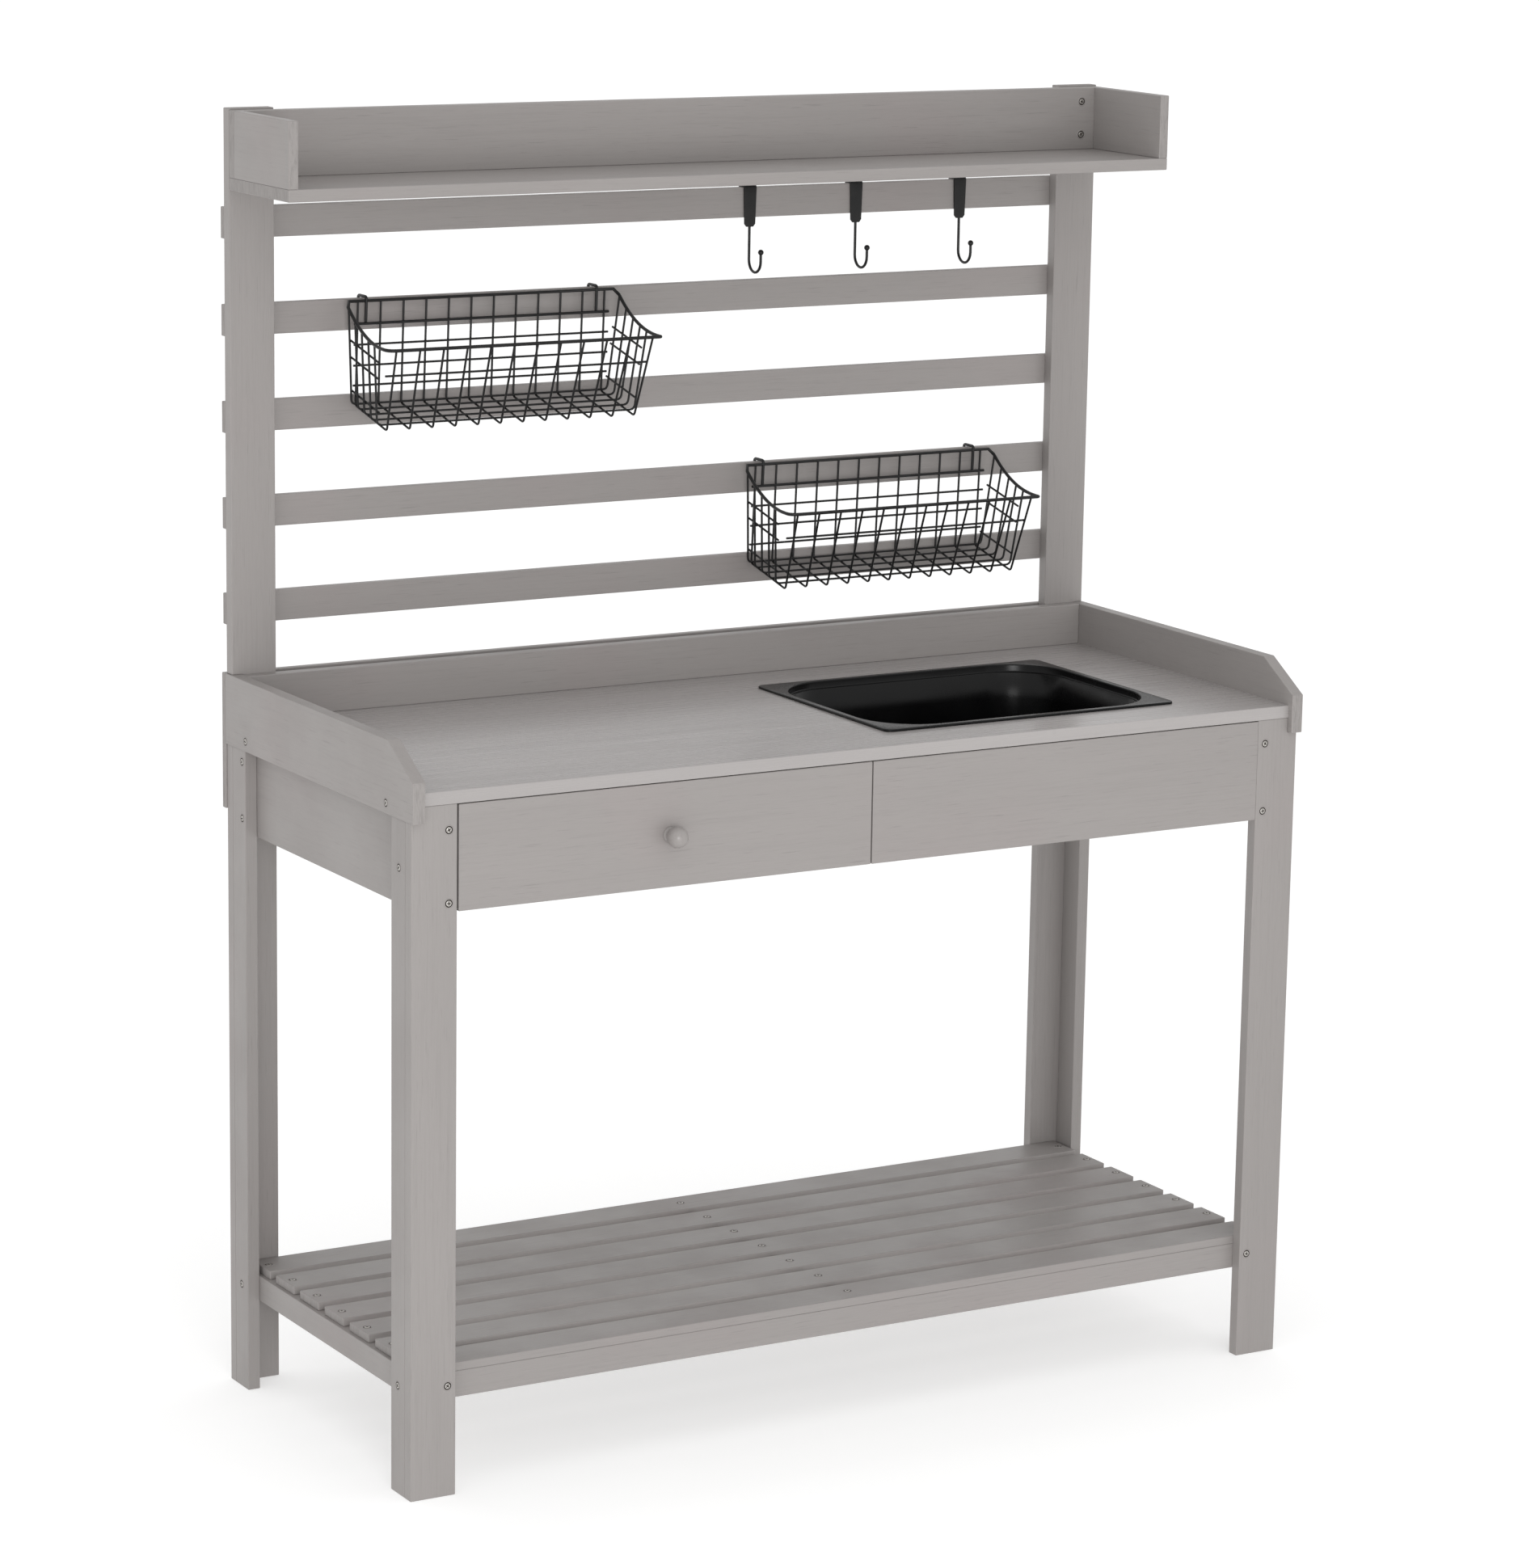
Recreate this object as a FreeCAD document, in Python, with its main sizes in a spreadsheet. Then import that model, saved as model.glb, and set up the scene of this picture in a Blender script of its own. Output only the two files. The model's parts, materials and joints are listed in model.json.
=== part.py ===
import FreeCAD, Part
import Sketcher
import math
import os
import re

# Potting bench: a worktop on four L-section legs, with a drawer, a fixed front panel, a lift-out
# basin, a slatted lower shelf, and a tall slatted back that carries a top shelf, two wire baskets
# and three hooks. Millimetres, +Z up, origin on the floor under the middle of the whole bench.
# X runs along the bench, -Y is the side the gardener stands at. In the expressions below, left and
# front are the outer faces of the left and front legs.

DIMENSIONS = {
    "left": -580, "front": -231, "width": 1160, "depth": 478, "board": 15, "edge_round": 1,
    # legs, each a face board and a side board
    "leg_face": 55, "leg_side": 34, "upright_top": 1488,
    # worktop, its guards and backsplash
    "worktop_top": 795, "worktop_thick": 15,
    "guard_top": 845, "guard_bottom": 763, "guard_thick": 15, "guard_side_proud": 2,
    "guard_front_proud": 8, "guard_chamfer_run": 61, "guard_chamfer_drop": 37,
    # boards below the worktop
    "apron_bottom": 661, "rear_apron_bottom": 687, "thin_board": 9, "top_gap": 0.9,
    "partition_x": 578, "partition_thick": 12, "panel_lap": 1, "cleat": 20,
    # drawer
    "drawer_gap_left": 2, "drawer_gap_right": 1.5, "drawer_side_x": 62, "drawer_side_gap": 7,
    "drawer_wall": 12, "drawer_length": 395, "drawer_low": 670, "drawer_high": 755,
    "drawer_back_drop": 5, "drawer_floor_low": 672, "drawer_floor_thick": 4,
    "runner_thick": 7, "runner_gap": 0.3, "runner_clear": 2,
    "knob_radius": 12, "knob_ball_out": 17, "knob_neck": 6.5, "knob_foot": 9,
    # lower shelf
    "rail_low": 107, "rail_high": 137, "slat_thick": 10, "slat_wide": 50, "slat_pitch": 66,
    "slat_end": 20,
    # slatted back
    "rung_top": 1377, "rung_pitch": 110, "rung_high": 36,
    # top shelf
    "shelf_top": 1411, "shelf_thick": 14, "shelf_front": 305, "shelf_wall_top": 1486,
    "shelf_end": 12,
    # basin
    "basin_x": 634, "basin_y": 66, "basin_long": 397, "basin_wide": 300, "rim_thick": 3,
    "rim_corner": 9, "rim_wide": 9, "mouth_corner": 72, "basin_wall": 2.5, "step_deep": 9,
    "step_wide": 4, "basin_deep": 117, "basin_taper": 6, "cutout_gap": 1,
    # hooks
    "hook_x": 680, "hook_pitch": 147, "strap_wide": 17, "strap_thick": 2.4, "strap_low": 1338,
    "strap_tip": 1330, "strap_tip_wide": 7, "strap_back_low": 1356, "strap_gap": 0.3,
    "hook_wire": 1.6, "hook_bend": 14, "hook_bend_z": 1291, "hook_lap": 4, "hook_ball": 3.4,
    "hook_ball_z": 1302,
    # wire baskets: the back leans as it goes up and the floor falls towards the front
    "basket_long": 350, "basket_deep": 111, "basket_high": 121, "back_lean": 7,
    "floor_deep": 82, "floor_fall": 19, "basket_inset": 10, "floor_margin": 4,
    "cross_pitch": 29, "rail_stub": 1, "back_rail_drop": 26, "back_rail_pitch": 24,
    "front_rail_drop": 29, "end_rail_up": 20, "end_rail_pitch": 30,
    "rim_drop": 44, "rim_bow": 2.3, "rim_wire": 2, "mesh_wire": 2.4,
    "upper_basket_x": 146, "lower_basket_x": 673, "basket_out": 3, "rim_below_rung": 2,
    "hang_wire": 1.8, "hang_inset": 26, "hang_drop": 18, "hang_over": 0.8, "hang_behind": 0.4,
    # screw heads, and how far in from each edge they sit
    "screw_head": 3.6, "screw_proud": 0.8,
    "face_screw_in": 45, "face_screw_low": 671, "face_screw_high": 752, "foot_screw": 127,
    "side_screw_in": 30, "side_screw": 709, "side_foot_in": 32, "side_foot": 125,
    "rear_side_in": 41, "rear_side_low": 683, "rear_side_high": 749,
    "guard_screw_front": 58, "guard_screw_rear": 55, "guard_screw": 775,
    "slat_screw_in": 30, "wall_screw_low": 1429, "wall_screw_high": 1469,
    "rung_screw_outer": 18, "rung_screw_inner": 38,
    "apron_screw_in": 28, "apron_screw_low": 705, "apron_screw_high": 745,
}
SHELF_SLATS = 7
RUNGS = 5
HOOKS = 3
CROSS_BARS = 12
LONG_BARS = 5
BACK_RAILS = 4
END_RAILS = 2
TOUCHING = 0.01

doc = FreeCAD.newDocument("potting_bench")
sheet = doc.addObject("Spreadsheet::Sheet", "Dims")
for row, (alias, number) in enumerate(DIMENSIONS.items(), 1):
    sheet.set("A%d" % row, alias)
    sheet.set("B%d" % row, str(number))
    sheet.setAlias("B%d" % row, alias)
doc.recompute()

parts = {}


def formula(words):
    """An expression in the sheet's own names."""
    return re.sub(r"[a-z][a-z_]*", lambda found: "Dims." + found.group(0), str(words))


def value(words):
    """The number that an expression gives, for shapes made with Part's own functions."""
    return float(sheet.evalExpression(formula(words)))


def bind(thing, **sizes):
    for name, words in sizes.items():
        thing.setExpression(name, formula(words))


def place(thing, low):
    for axis, words in zip("xyz", low):
        thing.setExpression("Placement.Base." + axis, formula(words))


def keep(label, thing):
    thing.Label = label
    parts[label] = thing
    return thing


def board(label, low, size, notches=()):
    """A sawn board with eased edges. low is its lowest corner, notches are (low, size) in it."""
    body = doc.addObject("PartDesign::Body", label)
    block = body.newObject("PartDesign::AdditiveBox", label + "_block")
    bind(block, Length=size[0], Width=size[1], Height=size[2])
    last = block
    for number, (notch_low, notch_size) in enumerate(notches):
        last = body.newObject("PartDesign::SubtractiveBox", "%s_notch_%d" % (label, number))
        bind(last, Length=notch_size[0], Width=notch_size[1], Height=notch_size[2])
        place(last, notch_low)
    doc.recompute()
    eased = body.newObject("PartDesign::Fillet", label + "_edges")
    eased.Base = (last, [""])
    eased.UseAllEdges = True
    bind(eased, Radius="edge_round")
    body.Tip = eased
    place(body, low)
    return keep(label, body)


def plane(body, role):
    return next(o for o in body.Origin.OriginFeatures if o.Role == role)


def pad(body, name, outline, length, taper="0"):
    feature = body.newObject("PartDesign::Pad", name)
    feature.Profile = outline
    bind(feature, Length=length)
    if taper != "0":
        bind(feature, TaperAngle=taper)
    return feature


def mirrored(x_low, length):
    """The low X of a piece's mirror image on the right-hand side of the bench."""
    return "2*left + width - (%s) - (%s)" % (x_low, length)


# ---- legs -----------------------------------------------------------------------------------
# A guard rests in a notch cut in the outer edge of every face board.
inner_guard = "guard_thick - guard_side_proud"
notch_front = "worktop_top - worktop_thick - guard_bottom"
for side in ("left", "right"):
    low_x = "left" if side == "left" else mirrored("left", "leg_face")
    notch_x = "0" if side == "left" else "leg_face - (%s)" % inner_guard
    side_x = "left" if side == "left" else mirrored("left", "board")
    board("front_leg_%s_face" % side, (low_x, "front", "0"),
          ("leg_face", "board", "worktop_top - worktop_thick"),
          [((notch_x, "0", "guard_bottom"), (inner_guard, "board", notch_front))])
    board("front_leg_%s_side" % side, (side_x, "front + board", "0"),
          ("board", "leg_side", "guard_bottom"))
    board("upright_%s" % side, (low_x, "front + depth - board", "0"),
          ("leg_face", "board", "upright_top"),
          [((notch_x, "0", "guard_bottom"),
            (inner_guard, "board", "guard_top - guard_bottom"))])
    board("rear_leg_%s_side" % side, (side_x, "front + depth - board - leg_side", "0"),
          ("board", "leg_side", "guard_bottom"))


# ---- worktop, guards and backsplash ---------------------------------------------------------
def guard(side):
    """The board along one end of the worktop, with its front top corner cut off."""
    body = doc.addObject("PartDesign::Body", "guard_" + side)
    sketch = body.newObject("Sketcher::SketchObject", "guard_outline_" + side)
    sketch.AttachmentSupport = [(plane(body, "YZ_Plane"), "")]
    sketch.MapMode = "FlatFace"
    long = value("depth + guard_front_proud")
    high = value("guard_top - guard_bottom")
    run = value("guard_chamfer_run")
    drop = value("guard_chamfer_drop")
    corners = [(0, 0), (long, 0), (long, high), (run, high), (0, high - drop)]
    for start, end in zip(corners, corners[1:] + corners[:1]):
        sketch.addGeometry(Part.LineSegment(FreeCAD.Vector(*start, 0), FreeCAD.Vector(*end, 0)))
    rule = Sketcher.Constraint
    for line in range(5):
        sketch.addConstraint(rule("Coincident", line, 2, (line + 1) % 5, 1))
    sketch.addConstraint([rule("Horizontal", 0), rule("Vertical", 1),
                          rule("Horizontal", 2), rule("Vertical", 4),
                          rule("Coincident", 0, 1, -1, 1)])
    for name, kind, args, words in (
            ("long", "DistanceX", (0, 1, 0, 2, long), "depth + guard_front_proud"),
            ("high", "DistanceY", (1, 1, 1, 2, high), "guard_top - guard_bottom"),
            ("run", "DistanceX", (0, 1, 3, 1, run), "guard_chamfer_run"),
            ("drop", "DistanceY", (3, 2, 3, 1, drop), "guard_chamfer_drop")):
        index = sketch.addConstraint(rule(kind, *args))
        sketch.renameConstraint(index, name)
        sketch.setExpression("Constraints." + name, formula(words))
    slab = pad(body, "guard_slab_" + side, sketch, "guard_thick")
    doc.recompute()
    eased = body.newObject("PartDesign::Fillet", "guard_edges_" + side)
    eased.Base = (slab, [""])
    eased.UseAllEdges = True
    bind(eased, Radius="edge_round")
    body.Tip = eased
    low_x = "left - guard_side_proud"
    if side == "right":
        low_x = mirrored(low_x, "guard_thick")
    place(body, (low_x, "front - guard_front_proud", "guard_bottom"))
    return keep("guard_" + side, body)


for side in ("left", "right"):
    guard(side)

inside = "left + " + inner_guard
inside_long = "width - 2*(%s)" % inner_guard
board("backsplash", (inside, "front + depth - 2*board", "worktop_top"),
      (inside_long, "board", "guard_top - worktop_top"))
board("rear_apron", ("left - guard_side_proud", "front + depth", "rear_apron_bottom"),
      ("width + 2*guard_side_proud", "thin_board", "guard_top - rear_apron_bottom"))


def rounded_outline(body, name, low, size, radius, height):
    """A rounded rectangle sketched on the body's XY plane at a height."""
    sketch = body.newObject("Sketcher::SketchObject", name)
    sketch.AttachmentSupport = [(plane(body, "XY_Plane"), "")]
    sketch.MapMode = "FlatFace"
    sketch.setExpression("AttachmentOffset.Base.z", formula(height))
    x0, y0 = value(low[0]), value(low[1])
    long, wide, r = value(size[0]), value(size[1]), value(radius)
    x1, y1 = x0 + long, y0 + wide
    sides = [((x0 + r, y0), (x1 - r, y0)), ((x1, y0 + r), (x1, y1 - r)),
             ((x1 - r, y1), (x0 + r, y1)), ((x0, y1 - r), (x0, y0 + r))]
    centres = [(x1 - r, y0 + r, -90), (x1 - r, y1 - r, 0), (x0 + r, y1 - r, 90), (x0 + r, y0 + r, 180)]
    for (start, end), (cx, cy, angle) in zip(sides, centres):
        sketch.addGeometry(Part.LineSegment(FreeCAD.Vector(*start, 0), FreeCAD.Vector(*end, 0)))
        circle = Part.Circle(FreeCAD.Vector(cx, cy, 0), FreeCAD.Vector(0, 0, 1), r)
        sketch.addGeometry(Part.ArcOfCircle(circle, math.radians(angle), math.radians(angle + 90)))
    for corner in range(4):
        line, arc, following = 2 * corner, 2 * corner + 1, (2 * corner + 2) % 8
        sketch.addConstraint(Sketcher.Constraint("Tangent", line, 2, arc, 1))
        sketch.addConstraint(Sketcher.Constraint("Tangent", arc, 2, following, 1))
    for line, kind in ((0, "Horizontal"), (2, "Vertical"), (4, "Horizontal"), (6, "Vertical")):
        sketch.addConstraint(Sketcher.Constraint(kind, line))
    for arc in (3, 5, 7):
        sketch.addConstraint(Sketcher.Constraint("Equal", 1, arc))
    for label, kind, args, words in (
            ("corner", "Radius", (1, r), radius),
            ("long", "DistanceX", (6, 1, 2, 1, long), size[0]),
            ("wide", "DistanceY", (0, 1, 4, 1, wide), size[1]),
            ("low_x", "DistanceX", (-1, 1, 6, 1, x0), low[0]),
            ("low_y", "DistanceY", (-1, 1, 0, 1, y0), low[1])):
        index = sketch.addConstraint(Sketcher.Constraint(kind, *args))
        sketch.renameConstraint(index, label)
        sketch.setExpression("Constraints." + label, formula(words))
    return sketch


# The basin's mouth and the cut-out that its walls pass through, measured from the body's corner.
mouth_low = ("rim_wide", "rim_wide")
mouth_size = ("basin_long - 2*rim_wide", "basin_wide - 2*rim_wide")
walls_low = ("rim_wide - basin_wall", "rim_wide - basin_wall")
walls_size = ("basin_long - 2*rim_wide + 2*basin_wall", "basin_wide - 2*rim_wide + 2*basin_wall")


def cut(body, name, outline, length, taper="0"):
    """A pocket that goes down from its outline, checked to have removed something."""
    doc.recompute()
    before = body.Tip.Shape.Volume
    feature = body.newObject("PartDesign::Pocket", name)
    feature.Profile = outline
    bind(feature, Length=length)
    if taper != "0":
        bind(feature, TaperAngle=taper)
    doc.recompute()
    if feature.Shape.Volume >= before:
        raise ValueError(name + " cuts nothing")
    return feature


def worktop():
    body = doc.addObject("PartDesign::Body", "worktop")
    slab = body.newObject("PartDesign::AdditiveBox", "worktop_slab")
    bind(slab, Length=inside_long, Width="depth - board", Height="worktop_thick")
    body.Tip = slab
    doc.recompute()
    shift = "basin_x - (%s) + rim_wide - basin_wall - cutout_gap" % inner_guard
    outline = rounded_outline(
        body, "cutout_outline", (shift, "basin_y + rim_wide - basin_wall - cutout_gap"),
        tuple("%s + 2*cutout_gap" % words for words in walls_size),
        "mouth_corner + basin_wall + cutout_gap", "worktop_thick")
    last = cut(body, "basin_cutout", outline, "worktop_thick + 1")
    eased = body.newObject("PartDesign::Fillet", "worktop_edges")
    front_edges = []
    for number, edge in enumerate(last.Shape.Edges, 1):
        if edge.BoundBox.YMin < TOUCHING and edge.BoundBox.XLength > value("width/2"):
            front_edges.append("Edge%d" % number)
    eased.Base = (last, front_edges)
    bind(eased, Radius="edge_round")
    body.Tip = eased
    place(body, (inside, "front", "worktop_top - worktop_thick"))
    return keep("worktop", body)


def basin():
    """Moulded basin: a flat rim, a step just inside its mouth, and walls that draw in as they go down."""
    body = doc.addObject("PartDesign::Body", "basin")
    rim = rounded_outline(body, "rim_outline", ("0", "0"), ("basin_long", "basin_wide"),
                          "rim_corner", "0")
    pad(body, "rim_plate", rim, "rim_thick")
    walls = rounded_outline(body, "walls_outline", walls_low, walls_size,
                            "mouth_corner + basin_wall", "0")
    shell = pad(body, "walls_block", walls, "basin_deep", "-basin_taper")
    shell.Reversed = True
    body.Tip = shell
    doc.recompute()
    mouth = rounded_outline(body, "mouth_outline", mouth_low, mouth_size, "mouth_corner", "rim_thick")
    cut(body, "mouth", mouth, "step_deep")
    cavity = rounded_outline(
        body, "cavity_outline", ("rim_wide + step_wide", "rim_wide + step_wide"),
        ("basin_long - 2*rim_wide - 2*step_wide", "basin_wide - 2*rim_wide - 2*step_wide"),
        "mouth_corner - step_wide", "rim_thick - step_deep")
    cut(body, "cavity", cavity, "basin_deep + rim_thick - step_deep - basin_wall", "-basin_taper")
    place(body, ("left + basin_x", "front + basin_y", "worktop_top"))
    return keep("basin", body)


worktop()
basin()

# ---- boards below the worktop ---------------------------------------------------------------
apron_high = "worktop_top - worktop_thick - apron_bottom"
inner_depth = "depth - 2*board"
for side in ("left", "right"):
    low_x = "left + board" if side == "left" else mirrored("left + board", "board")
    board("side_apron_" + side, (low_x, "front + board", "apron_bottom"),
          ("board", inner_depth, apron_high))
board("fixed_front_panel", ("left + partition_x - panel_lap", "front", "apron_bottom"),
      ("width - leg_face - partition_x + panel_lap", "board", apron_high + " - top_gap"))
board("partition", ("left + partition_x", "front + board", "apron_bottom"),
      ("partition_thick", "depth - board", apron_high))


def group(label, pieces):
    """Alike pieces that share one node, each a solid of its own."""
    compound = doc.addObject("Part::Compound", label)
    compound.Links = pieces
    return keep(label, compound)


def box(name, low, size):
    thing = doc.addObject("Part::Box", name)
    bind(thing, Length=size[0], Width=size[1], Height=size[2])
    place(thing, low)
    return thing


blocks = []
for side in ("left", "right"):
    block_x = "left + 2*board" if side == "left" else mirrored("left + 2*board", "cleat")
    for end, block_y in (("front", "front + board"), ("rear", "front + depth - board - cleat")):
        blocks.append(box("block_%s_%s" % (end, side), (block_x, block_y, "apron_bottom"),
                          ("cleat", "cleat", apron_high)))
# A long cleat holds the fixed front panel, and it stops at the block in the front right corner.
blocks.append(box("panel_cleat", ("left + partition_x + partition_thick", "front + board",
                                  "worktop_top - worktop_thick - cleat"),
                  ("width - partition_x - partition_thick - 2*board - cleat", "cleat", "cleat")))
group("corner_cleats", blocks)

# ---- drawer ---------------------------------------------------------------------------------
drawer_right = "partition_x - drawer_side_gap"
side_size = ("drawer_wall", "drawer_length - board", "drawer_high - drawer_low")
board("drawer_front", ("left + leg_face + drawer_gap_left", "front", "apron_bottom"),
      ("partition_x - panel_lap - leg_face - drawer_gap_left - drawer_gap_right", "board",
       apron_high + " - top_gap"))
board("drawer_side_left", ("left + drawer_side_x", "front + board", "drawer_low"), side_size)
board("drawer_side_right", ("left + %s - drawer_wall" % drawer_right, "front + board", "drawer_low"),
      side_size)
between = "%s - drawer_side_x - 2*drawer_wall" % drawer_right
board("drawer_back", ("left + drawer_side_x + drawer_wall", "front + drawer_length - drawer_wall",
                      "drawer_floor_low + drawer_floor_thick"),
      (between, "drawer_wall",
       "drawer_high - drawer_floor_low - drawer_floor_thick - drawer_back_drop"))
board("drawer_floor", ("left + drawer_side_x + drawer_wall", "front + board", "drawer_floor_low"),
      (between, "drawer_length - board", "drawer_floor_thick"))
runner_low = "drawer_low - runner_gap - runner_thick"
board("drawer_runner_left", ("left + 2*board", "front + board + cleat", runner_low),
      ("drawer_side_x + drawer_wall - 2*board - runner_clear", "depth - 2*board - 2*cleat",
       "runner_thick"))
board("drawer_runner_right", ("left + %s - drawer_wall + runner_clear" % drawer_right,
                              "front + board + runner_clear", runner_low),
      ("partition_x - (%s) + drawer_wall - runner_clear" % drawer_right,
       "depth - 2*board - runner_clear", "runner_thick"))


def turned(name, kind, base, **sizes):
    """A Part primitive whose own Z axis points forward, to -Y, from base."""
    thing = doc.addObject(kind, name)
    bind(thing, **sizes)
    thing.Placement.Rotation = FreeCAD.Rotation(FreeCAD.Vector(1, 0, 0), 90)
    place(thing, base)
    return thing


knob_x = "left + (partition_x + leg_face)/2"
knob_z = "(worktop_top - worktop_thick + apron_bottom)/2"
ball = doc.addObject("Part::Sphere", "knob_ball")
bind(ball, Radius="knob_radius")
place(ball, (knob_x, "front - knob_ball_out", knob_z))
neck = turned("knob_neck_turn", "Part::Cylinder", (knob_x, "front", knob_z),
              Radius="knob_neck", Height="knob_ball_out")
foot = turned("knob_foot_turn", "Part::Cone", (knob_x, "front", knob_z),
              Radius1="knob_foot", Radius2="knob_neck", Height="knob_neck/2")
knob = doc.addObject("Part::MultiFuse", "drawer_knob")
knob.Shapes = [ball, neck, foot]
keep("drawer_knob", knob)

# ---- lower shelf ----------------------------------------------------------------------------
for number in range(SHELF_SLATS):
    board("shelf_slat_%d" % (number + 1),
          ("left + slat_end", "front + board + %d*slat_pitch" % number, "rail_high"),
          ("width - 2*slat_end", "slat_wide", "slat_thick"))
rail_size = ("width - 4*board", "board", "rail_high - rail_low")
board("shelf_rail_front", ("left + 2*board", "front + board", "rail_low"), rail_size)
board("shelf_rail_rear", ("left + 2*board", "front + depth - 2*board", "rail_low"), rail_size)
for side in ("left", "right"):
    low_x = "left + board" if side == "left" else mirrored("left + board", "board")
    board("shelf_rail_" + side, (low_x, "front + board", "rail_low"),
          ("board", inner_depth, "rail_high - rail_low"))
board("shelf_bearer_middle", ("left + width/2 - board/2", "front + 2*board", "rail_low"),
      ("board", "depth - 4*board", "rail_high - rail_low"))

# ---- slatted back and top shelf -------------------------------------------------------------
for number in range(RUNGS):
    board("back_slat_%d" % (number + 1),
          ("left", "front + depth", "rung_top - %d*rung_pitch - rung_high" % number),
          ("width", "thin_board", "rung_high"))
shelf_deep = "depth - board - shelf_front"
board("top_shelf_board", ("left", "front + shelf_front", "shelf_top - shelf_thick"),
      ("width", shelf_deep, "shelf_thick"))
board("top_shelf_back", ("left", "front + depth - board - shelf_thick", "shelf_top"),
      ("width", "shelf_thick", "shelf_wall_top - shelf_top"))
for side in ("left", "right"):
    low_x = "left" if side == "left" else mirrored("left", "shelf_end")
    board("top_shelf_end_" + side, (low_x, "front + shelf_front", "shelf_top"),
          ("shelf_end", shelf_deep + " - shelf_thick", "shelf_wall_top - shelf_top"))

# ---- hooks ----------------------------------------------------------------------------------
strap_y = "front + depth - strap_gap - strap_thick"
bridge_deep = "thin_board + 2*strap_gap + 2*strap_thick"
for number in range(HOOKS):
    name = "hook_%d" % (number + 1)
    middle = "left + hook_x + %d*hook_pitch" % number
    low_x = middle + " - strap_wide/2"
    plate = box(name + "_plate", (low_x, strap_y, "strap_low"),
                ("strap_wide", "strap_thick", "rung_top + strap_gap + strap_thick - strap_low"))
    bridge = box(name + "_bridge", (low_x, strap_y, "rung_top + strap_gap"),
                 ("strap_wide", bridge_deep, "strap_thick"))
    lip = box(name + "_lip", (low_x, "front + depth + thin_board + strap_gap", "strap_back_low"),
              ("strap_wide", "strap_thick",
               "rung_top + strap_gap + strap_thick - strap_back_low"))
    tip = doc.addObject("Part::Wedge", name + "_tip")
    tip.Xmin = tip.Ymin = tip.Zmin = tip.Z2min = 0
    bind(tip, Xmax="strap_wide", Ymax="strap_low - strap_tip", Zmax="strap_thick",
         X2min="(strap_wide - strap_tip_wide)/2", X2max="(strap_wide + strap_tip_wide)/2",
         Z2max="strap_thick")
    tip.Placement.Rotation = FreeCAD.Rotation(FreeCAD.Vector(1, 0, 0), -90)
    place(tip, (low_x, strap_y, "strap_low"))
    wire_y = strap_y + " + hook_wire"
    stem = doc.addObject("Part::Cylinder", name + "_stem")
    bind(stem, Radius="hook_wire", Height="strap_tip + hook_lap - hook_bend_z")
    place(stem, (middle, wire_y, "hook_bend_z"))
    bend = doc.addObject("Part::Torus", name + "_bend")
    bind(bend, Radius1="hook_bend", Radius2="hook_wire")
    bend.Angle3 = 180
    bend.Placement.Rotation = FreeCAD.Rotation(FreeCAD.Vector(0, 1, 0), 90) * FreeCAD.Rotation(
        FreeCAD.Vector(0, 0, 1), -90)
    place(bend, (middle, wire_y + " - hook_bend", "hook_bend_z"))
    nose = doc.addObject("Part::Cylinder", name + "_nose")
    bind(nose, Radius="hook_wire", Height="hook_ball_z - hook_bend_z")
    place(nose, (middle, wire_y + " - 2*hook_bend", "hook_bend_z"))
    bead = doc.addObject("Part::Sphere", name + "_bead")
    bind(bead, Radius="hook_ball")
    place(bead, (middle, wire_y + " - 2*hook_bend", "hook_ball_z"))
    hook = doc.addObject("Part::MultiFuse", name)
    hook.Shapes = [plate, bridge, lip, tip, stem, bend, nose, bead]
    keep(name, hook)


# ---- wire baskets ---------------------------------------------------------------------------
def rod(start, end, radius):
    line = end - start
    return Part.makeCylinder(radius, line.Length, start, line)


def grid(places_across, places_up, across, up, thick):
    """A flat welded grid standing in the XZ plane: bars at places_across run up, the others run
    across. across and up are the (low, high) that each kind of bar spans."""
    bars = [Part.makeBox(thick, thick, span[1] - span[0], FreeCAD.Vector(x - thick / 2, 0, span[0]))
            for x, span in zip(places_across, up)]
    bars += [Part.makeBox(across[1] - across[0], thick, thick,
                          FreeCAD.Vector(across[0], 0, z - thick / 2)) for z in places_up]
    return bars[0].multiFuse(bars[1:]).removeSplitter()


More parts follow.
